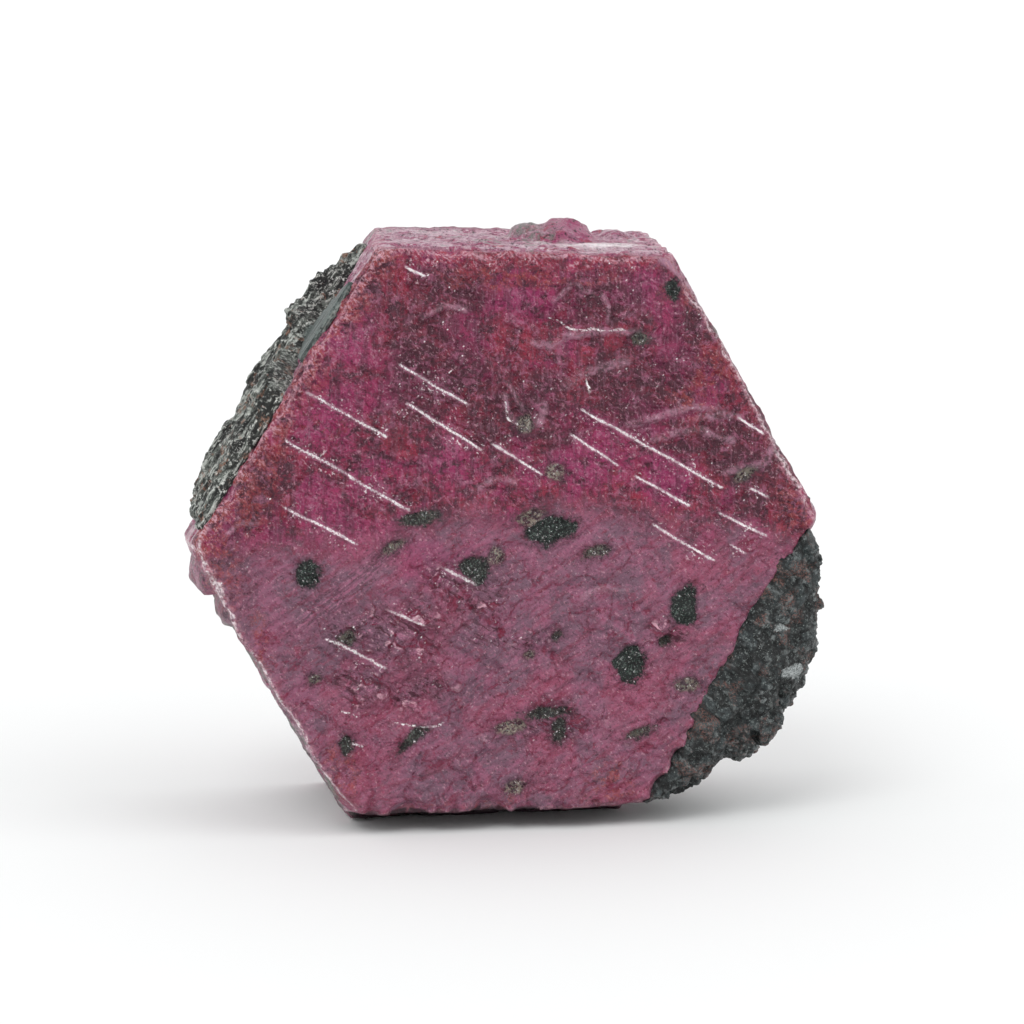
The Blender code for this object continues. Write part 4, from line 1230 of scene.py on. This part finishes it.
def cracksAndCrests(paint, n, low):
    # edges of plates and scars: dark red in the cracks, the ruby's deeper colour with painted shade there,
    # and here and there a painted highlight on a pale crest beside them
    hackly = paint.field("hackly")
    ragged = 0.16 * (n.speck - 0.5)
    scar = paint.lineGap("scar", 0.30 * (n.speck - 0.5))
    cracks = scar.ease(-0.12, -0.02) * scar.ease(0.02, 0.0) * n.mottle.ease(0.52, 0.62) * (0.8 - 0.5 * low)
    crests = 0.0
    plate, chip = 0.15 + 0.55 * low + 0.3 * hackly, 0.1 + 0.3 * low + 0.5 * hackly
    for name, amount in (("plate", plate), ("chip", chip)):
        gap, mark = paint.field(name + "Gap") + ragged, paint.field(name + "Mark")
        line = gap.ease(0.10, 0.02) * mark.ease(0.46, 0.56) * n.wisp.ease(0.47, 0.56) * amount
        cracks = line.larger(cracks)
        crest = gap.ease(0.20, 0.12) * gap.ease(0.04, 0.10) * mark.ease(0.72, 0.82) * hackly
        crests = crest.larger(crests)
    return cracks, crests


def grainCoats(paint, n):
    # grains of host rock, their outlines lost in the ruby around them: a plum rim, then the grain with
    # painted glints in white
    gap = paint.field("grainGap") + 0.7 * (n.speck - 0.5) + 0.6 * (n.grit - 0.5) + 0.5 * (n.mottle - 0.5)
    paleness = paint.field("grainPale")
    patchy = (n.speck + 0.5 * (n.grit - 0.5)).ease(0.45, 0.52)
    colour = paint.coats(
        paint.mix(paleness * patchy * 0.8, "grainDark", "grainPale"),
        (n.grit.ease(0.53, 0.62) * 0.75, "greenGrey"),
        (n.grime.ease(0.46, 0.36) * 0.85, "black"),
        # white specks in the grains: painted glints
        (n.grime.ease(0.62, 0.70) * 0.8, "white"),
    )
    share = gap.ease(0.16, -0.08) * (1.0 - 0.6 * paleness * (1.0 - patchy))
    return (gap.ease(0.5, 0.05) * 0.5, "plum"), (share, colour)


def ledgeShares(paint, n):
    # white crests of the long ledges and the short glints, painted highlights that are partly bruising: the
    # share of white, of the hazy band beside it (a painted halo), of the dark line under it (a painted
    # shade), and how near a ledge is
    clean, distance = paint.field("ledgeClean"), paint.field("ledgeNear")
    broken = n.wisp.ease(0.38, 0.54) * n.grime.ease(0.36, 0.54)
    near = distance + 0.16 * (n.speck - 0.5) + 0.10 * (n.grit - 0.5)
    band = (near + 0.6 * (0.5 - n.mottle)).ease(0.24, 0.09) * clean.ease(0.1, 0.7)
    crest = (near + 0.45 * (0.55 - n.mottle)).ease(0.11, 0.03) * clean.ease(0.05, 0.6)
    crest = crest * (0.5 + 0.5 * broken)
    core = (distance + 0.08 * (n.speck - 0.5) + 0.14 * (n.mottle - 0.5)).ease(0.09, 0.04)
    crest = crest.larger(core * clean.ease(0.15, 0.8) * (0.3 + 0.7 * n.wisp.ease(0.40, 0.54)))
    around = distance.ease(1.0, 0.1) * clean
    crest = crest.larger(around * n.grime.ease(0.58, 0.66) * n.wisp.ease(0.46, 0.54) * 0.9)
    glint = (paint.field("glintNear") + 0.10 * (n.speck - 0.5)).ease(0.10, 0.02) * n.grime.ease(0.42, 0.56)
    under = paint.field("ledgeBelow").ease(0.14, 0.02) * clean * n.strike.ease(0.35, 0.55)
    return crest.larger(glint), band, under, around


def rubyFinish():
    paint = Paint("rubyStone", rubyLook)
    n = rubyNoises(paint)
    low, front, edge = paint.field("low"), paint.field("front"), paint.field("edge")
    lower = lowerColour(paint, n)
    # a band of fine straight parallel scratches
    brush = paint.noise(paint.basal(scratches["turn"], 16.0), 0.13, 2.0, 0.5)
    brushed = paint.field("brushed")
    face = paint.coats(
        paint.mix(low, upperColour(paint, n), lower),
        (brushed * 0.45, "greyMauve"),
        (brushed * brush.ease(0.52, 0.58) * 0.55, "haze"),
        (brushed * brush.ease(0.47, 0.41) * 0.42, "plum"),
    )
    # white rims: a painted highlight of the edges, partly wear; also glossier there
    wearAndHighlight = (edge + 0.4 * (n.mottle - 0.5)).ease(0.24, 0.06) * (0.3 + 0.7 * n.grime.ease(0.44, 0.54))
    wearAndHighlight = wearAndHighlight * n.wisp.ease(0.40, 0.52) * paint.field("wearAndHighlightEdge")
    colour = edgeColour(paint, n, paint.mix(front, sideColour(paint, n, lower), face), wearAndHighlight)
    cracks, crests = cracksAndCrests(paint, n, low)
    shine, band, under, around = ledgeShares(paint, n)
    # small facets painted white as highlights, in clusters
    tilted = paint.spot((0.4, 0.7, 0.2), (1.0, 1.0, 1.7))
    chance = paint.node("ShaderNodeSeparateColor", {}, {"Color": paint.cells(tilted, 0.13, "Color")}, "Red")
    busy = paint.field("darker").larger(paint.field("hackly")).larger(around)
    busy = busy.larger(paint.field("topRim")) * 0.85 + 0.15
    facetGlint = chance.ease(0.88, 1.0) * paint.cells(tilted, 0.13).ease(0.52, 0.2)
    facetGlint = facetGlint * n.wisp.ease(0.48, 0.60) * busy
    colour = paint.coats(
        colour,
        # deeper red and painted shade in the cracks, painted highlights on the crests
        (cracks * front * 0.85, "crack"),
        (crests * front * n.wisp.ease(0.50, 0.60), "lightPink"),
        (paint.field("chipFacet") * n.speck.ease(0.60, 0.48), "lilacShade"),
        *grainCoats(paint, n),
        # painted shade under each ledge, a painted halo beside it, painted highlights on its crest and on
        # the glints
        (under * 0.7, "deepWine"),
        (band * 0.5, "haze"),
        (shine, "white"),
        (facetGlint, "white"),
        # the rest face and the broken foot painted near black: painted shade
        (paint.field("underside") * 0.85, "black"),
    )
    gloss = shine.larger(facetGlint).larger(paint.field("ridge") * 0.4).larger(wearAndHighlight * 0.8)
    rough = 0.32 + 0.5 * (n.speck - 0.5) + 0.06 * low - 0.12 * wearAndHighlight
    wall = paint.field("ledgeNear").ease(0.12, 0.0) * paint.field("ledgeClean")
    height = 0.15 * n.speck + 0.06 * n.grit + 0.18 * n.mottle
    height = height + 0.05 * (n.climb * low + n.strike * (1 - low))
    height = height + 0.03 * (n.comb * low + n.hair * (1 - low)) - 0.08 * cracks * front + 0.07 * wall
    paint.set(Base_Color=colour, Roughness=rough, Normal=paint.bump(height, 0.95), IOR=1.5,
              Specular_IOR_Level=0.36, Coat_Weight=gloss, Coat_Roughness=0.22, Coat_IOR=1.6,
              Subsurface_Weight=0.10, Subsurface_Scale=0.0006, Subsurface_Radius=(1.0, 0.25, 0.35))
    return paint.material


lumpLook = dict(
    black=tone(15, 18, 19),
    slate=tone(44, 51, 52),
    block=tone(74, 84, 86),
    fleck=tone(120, 128, 128),
    dust=tone(116, 124, 122),
    pit=tone(7, 9, 9),
    seam=tone(8, 9, 10),
    spark=tone(176, 184, 180),
    brown=tone(122, 80, 72),
    feldsparShade=tone(104, 108, 108),
    feldspar=tone(180, 186, 186),
)


def lumpFinish():
    # black and slate in turns, blocks and flecks a little lighter, brown films, two feldspar grains, pale
    # sparks as painted glints
    paint = Paint("darkSchist", lumpLook)
    spot = paint.spot()
    wide = paint.noise(spot, 1.6, 3.0, 0.6, 0.5)
    speck = paint.noise(spot, 0.26, 4.0, 0.75)
    grit = paint.noise(spot, 0.10, 2.0, 0.6)
    pale = (paint.field("palest") + 1.6 * (speck - 0.5) + 1.2 * (wide - 0.5)).ease(0.12, -0.12)
    colour = paint.coats(
        paint.mix(wide.ease(0.44, 0.56), "black", "slate"),
        (paint.field("grain").ease(0.55, 0.95) * 0.45, "block"),
        (paint.field("fleck").ease(0.80, 1.0) * 0.6, "fleck"),
        (speck.ease(0.53, 0.66) * 0.7, "dust"),
        (speck.ease(0.49, 0.36) * 0.95, "pit"),
        # pale sparks: painted glints
        (grit.ease(0.62, 0.72) * 0.7, "spark"),
        (wide.ease(0.52, 0.62) * grit.ease(0.46, 0.58) * 0.7, "brown"),
        (paint.field("seam").ease(0.14, 0.0) * 0.75, "seam"),
        (pale, paint.mix(grit.ease(0.36, 0.62), "feldsparShade", "feldspar")),
    )
    gloss = paint.field("fleck").ease(0.55, 0.9) * speck.ease(0.4, 0.6)
    paint.set(Base_Color=colour, Roughness=0.30 + 0.5 * (speck - 0.5) + 0.2 * wide,
              Normal=paint.bump(0.20 * speck + 0.08 * grit), Specular_IOR_Level=0.4,
              Coat_Weight=gloss, Coat_Roughness=0.15)
    return paint.material


crustLook = dict(
    leaf=57.5,  # degrees: the leaves are drawn out along the upper left edge
    dark=tone(34, 36, 34),
    grey=tone(100, 106, 100),
    pale=tone(186, 190, 184),
    black=tone(12, 13, 13),
    white=tone(236, 238, 232),
    pit=tone(6, 7, 7),
    brown=tone(134, 86, 64),
    slabShade=tone(58, 68, 67),
    slab=tone(112, 122, 119),
    slabPit=tone(20, 24, 24),
    cleft=tone(12, 12, 12),
)


def crustFinish():
    # pale and black fibres along the leaves, white specks as painted glints, brown films, the smooth slab a
    # plainer green-grey
    paint = Paint("foliatedSchist", crustLook)
    spot = paint.spot()
    speck = paint.noise(spot, 0.26, 4.0, 0.75)
    film = paint.noise(spot, 1.0, 3.0, 0.6)
    fibre = paint.noise(paint.basal(crustLook["leaf"], 6.0), 0.34, 4.0, 0.72)
    broad = paint.noise(paint.basal(crustLook["leaf"], 3.0), 1.1, 3.0, 0.6)
    plate = paint.mix(fibre.ease(0.44, 0.56), "slabShade", "slab")
    colour = paint.coats(
        paint.mix(broad.ease(0.44, 0.58), "dark", "grey"),
        (fibre.ease(0.52, 0.60) * 0.9, "pale"),
        (fibre.ease(0.48, 0.40) * 0.95, "black"),
        # white specks: painted glints
        (speck.ease(0.54, 0.66) * 0.85, "white"),
        (speck.ease(0.47, 0.36) * 0.9, "pit"),
        (film.ease(0.54, 0.62) * speck.ease(0.46, 0.56) * 0.75, "brown"),
        (paint.field("slab"), paint.mix(speck.ease(0.48, 0.36) * 0.8, plate, "slabPit")),
        (paint.field("rise").ease(0.14, 0.0) * 0.6, "cleft"),
    )
    paint.set(Base_Color=colour, Roughness=0.45 + 0.4 * (speck - 0.5),
              Normal=paint.bump(0.20 * speck + 0.20 * fibre), Specular_IOR_Level=0.4)
    return paint.material


def dress(piece, material, node):
    piece.data.materials.append(material)
    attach(piece, "root")
    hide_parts(node)


dress(buildRuby(), rubyFinish(), "ruby_crystal")
dress(buildLump(), lumpFinish(), "schist_lump")
dress(buildCrust(), crustFinish(), "schist_crust")
print("crystal and rock made")


studio = dict(
    azimuth=-10.0,
    elevation=8.0,
    distance=0.300,
    aim=(0.0011, 0.0, 0.01975),
    focal=4500 / 1024 * 36,  # millimetres of lens on a sensor of the next width
    sensor=36.0,
    worldStrength=0.95,
    # each wide soft light: azimuth from the front, elevation, angle across, strength
    lights=((-34.0, 46.0, 30.0, 0.80), (52.0, 42.0, 44.0, 0.40)),
    floorReach=6.0,
    floorColour=(0.855, 0.866, 0.866, 1),
)


def fromFront(azimuth, elevation):
    # unit vector towards a place seen at an azimuth from the front and an elevation, in degrees
    a, e = math.radians(azimuth), math.radians(elevation)
    return np.array([math.sin(a) * math.cos(e), -math.cos(a) * math.cos(e), math.sin(e)])


def aimed(name, data, place, target):
    # an object for a light or camera, whose own view is along -Z, turned from its place to the target
    z = place - target
    z /= np.linalg.norm(z)
    x = np.cross([0.0, 0.0, 1.0], z)
    x /= np.linalg.norm(x)
    m = np.eye(4)
    m[:3, 0], m[:3, 1], m[:3, 2], m[:3, 3] = x, np.cross(z, x), z, place
    holder = bpy.data.objects.new(name, data)
    holder.matrix_world = Matrix([tuple(row) for row in m])
    bpy.context.scene.collection.objects.link(holder)
    return holder


def buildStudio():
    aim = np.array(studio["aim"])
    lens = bpy.data.cameras.new("studioCamera")
    lens.lens, lens.sensor_width = studio["focal"], studio["sensor"]
    lens.clip_start, lens.clip_end = 0.01, 50.0
    away = fromFront(studio["azimuth"], studio["elevation"]) * studio["distance"]
    bpy.context.scene.camera = aimed("studioCamera", lens, aim + away, aim)
    for number, (azimuth, elevation, across, strength) in enumerate(studio["lights"]):
        lamp = bpy.data.lights.new(f"softLight{number}", "SUN")
        lamp.angle, lamp.energy = math.radians(across), strength
        aimed(lamp.name, lamp, fromFront(azimuth, elevation), np.zeros(3))
    world = bpy.data.worlds.new("paleStudio")
    world.use_nodes = True
    world.node_tree.nodes["Background"].inputs["Color"].default_value = (1, 1, 1, 1)
    world.node_tree.nodes["Background"].inputs["Strength"].default_value = studio["worldStrength"]
    bpy.context.scene.world = world
    mesh = bpy.data.meshes.new("paleFloor")
    reach = studio["floorReach"]
    mesh.from_pydata([(-reach, -reach, 0), (reach, -reach, 0), (reach, reach, 0), (-reach, reach, 0)],
                     [], [(0, 1, 2, 3)])
    floor = bpy.data.objects.new("paleFloor", mesh)
    bpy.context.scene.collection.objects.link(floor)
    paint = Paint("palePaper", {})
    paint.set(Base_Color=studio["floorColour"], Roughness=0.8)
    mesh.materials.append(paint.material)
    bpy.context.scene.view_settings.view_transform = "Standard"


buildStudio()
print("studio made")
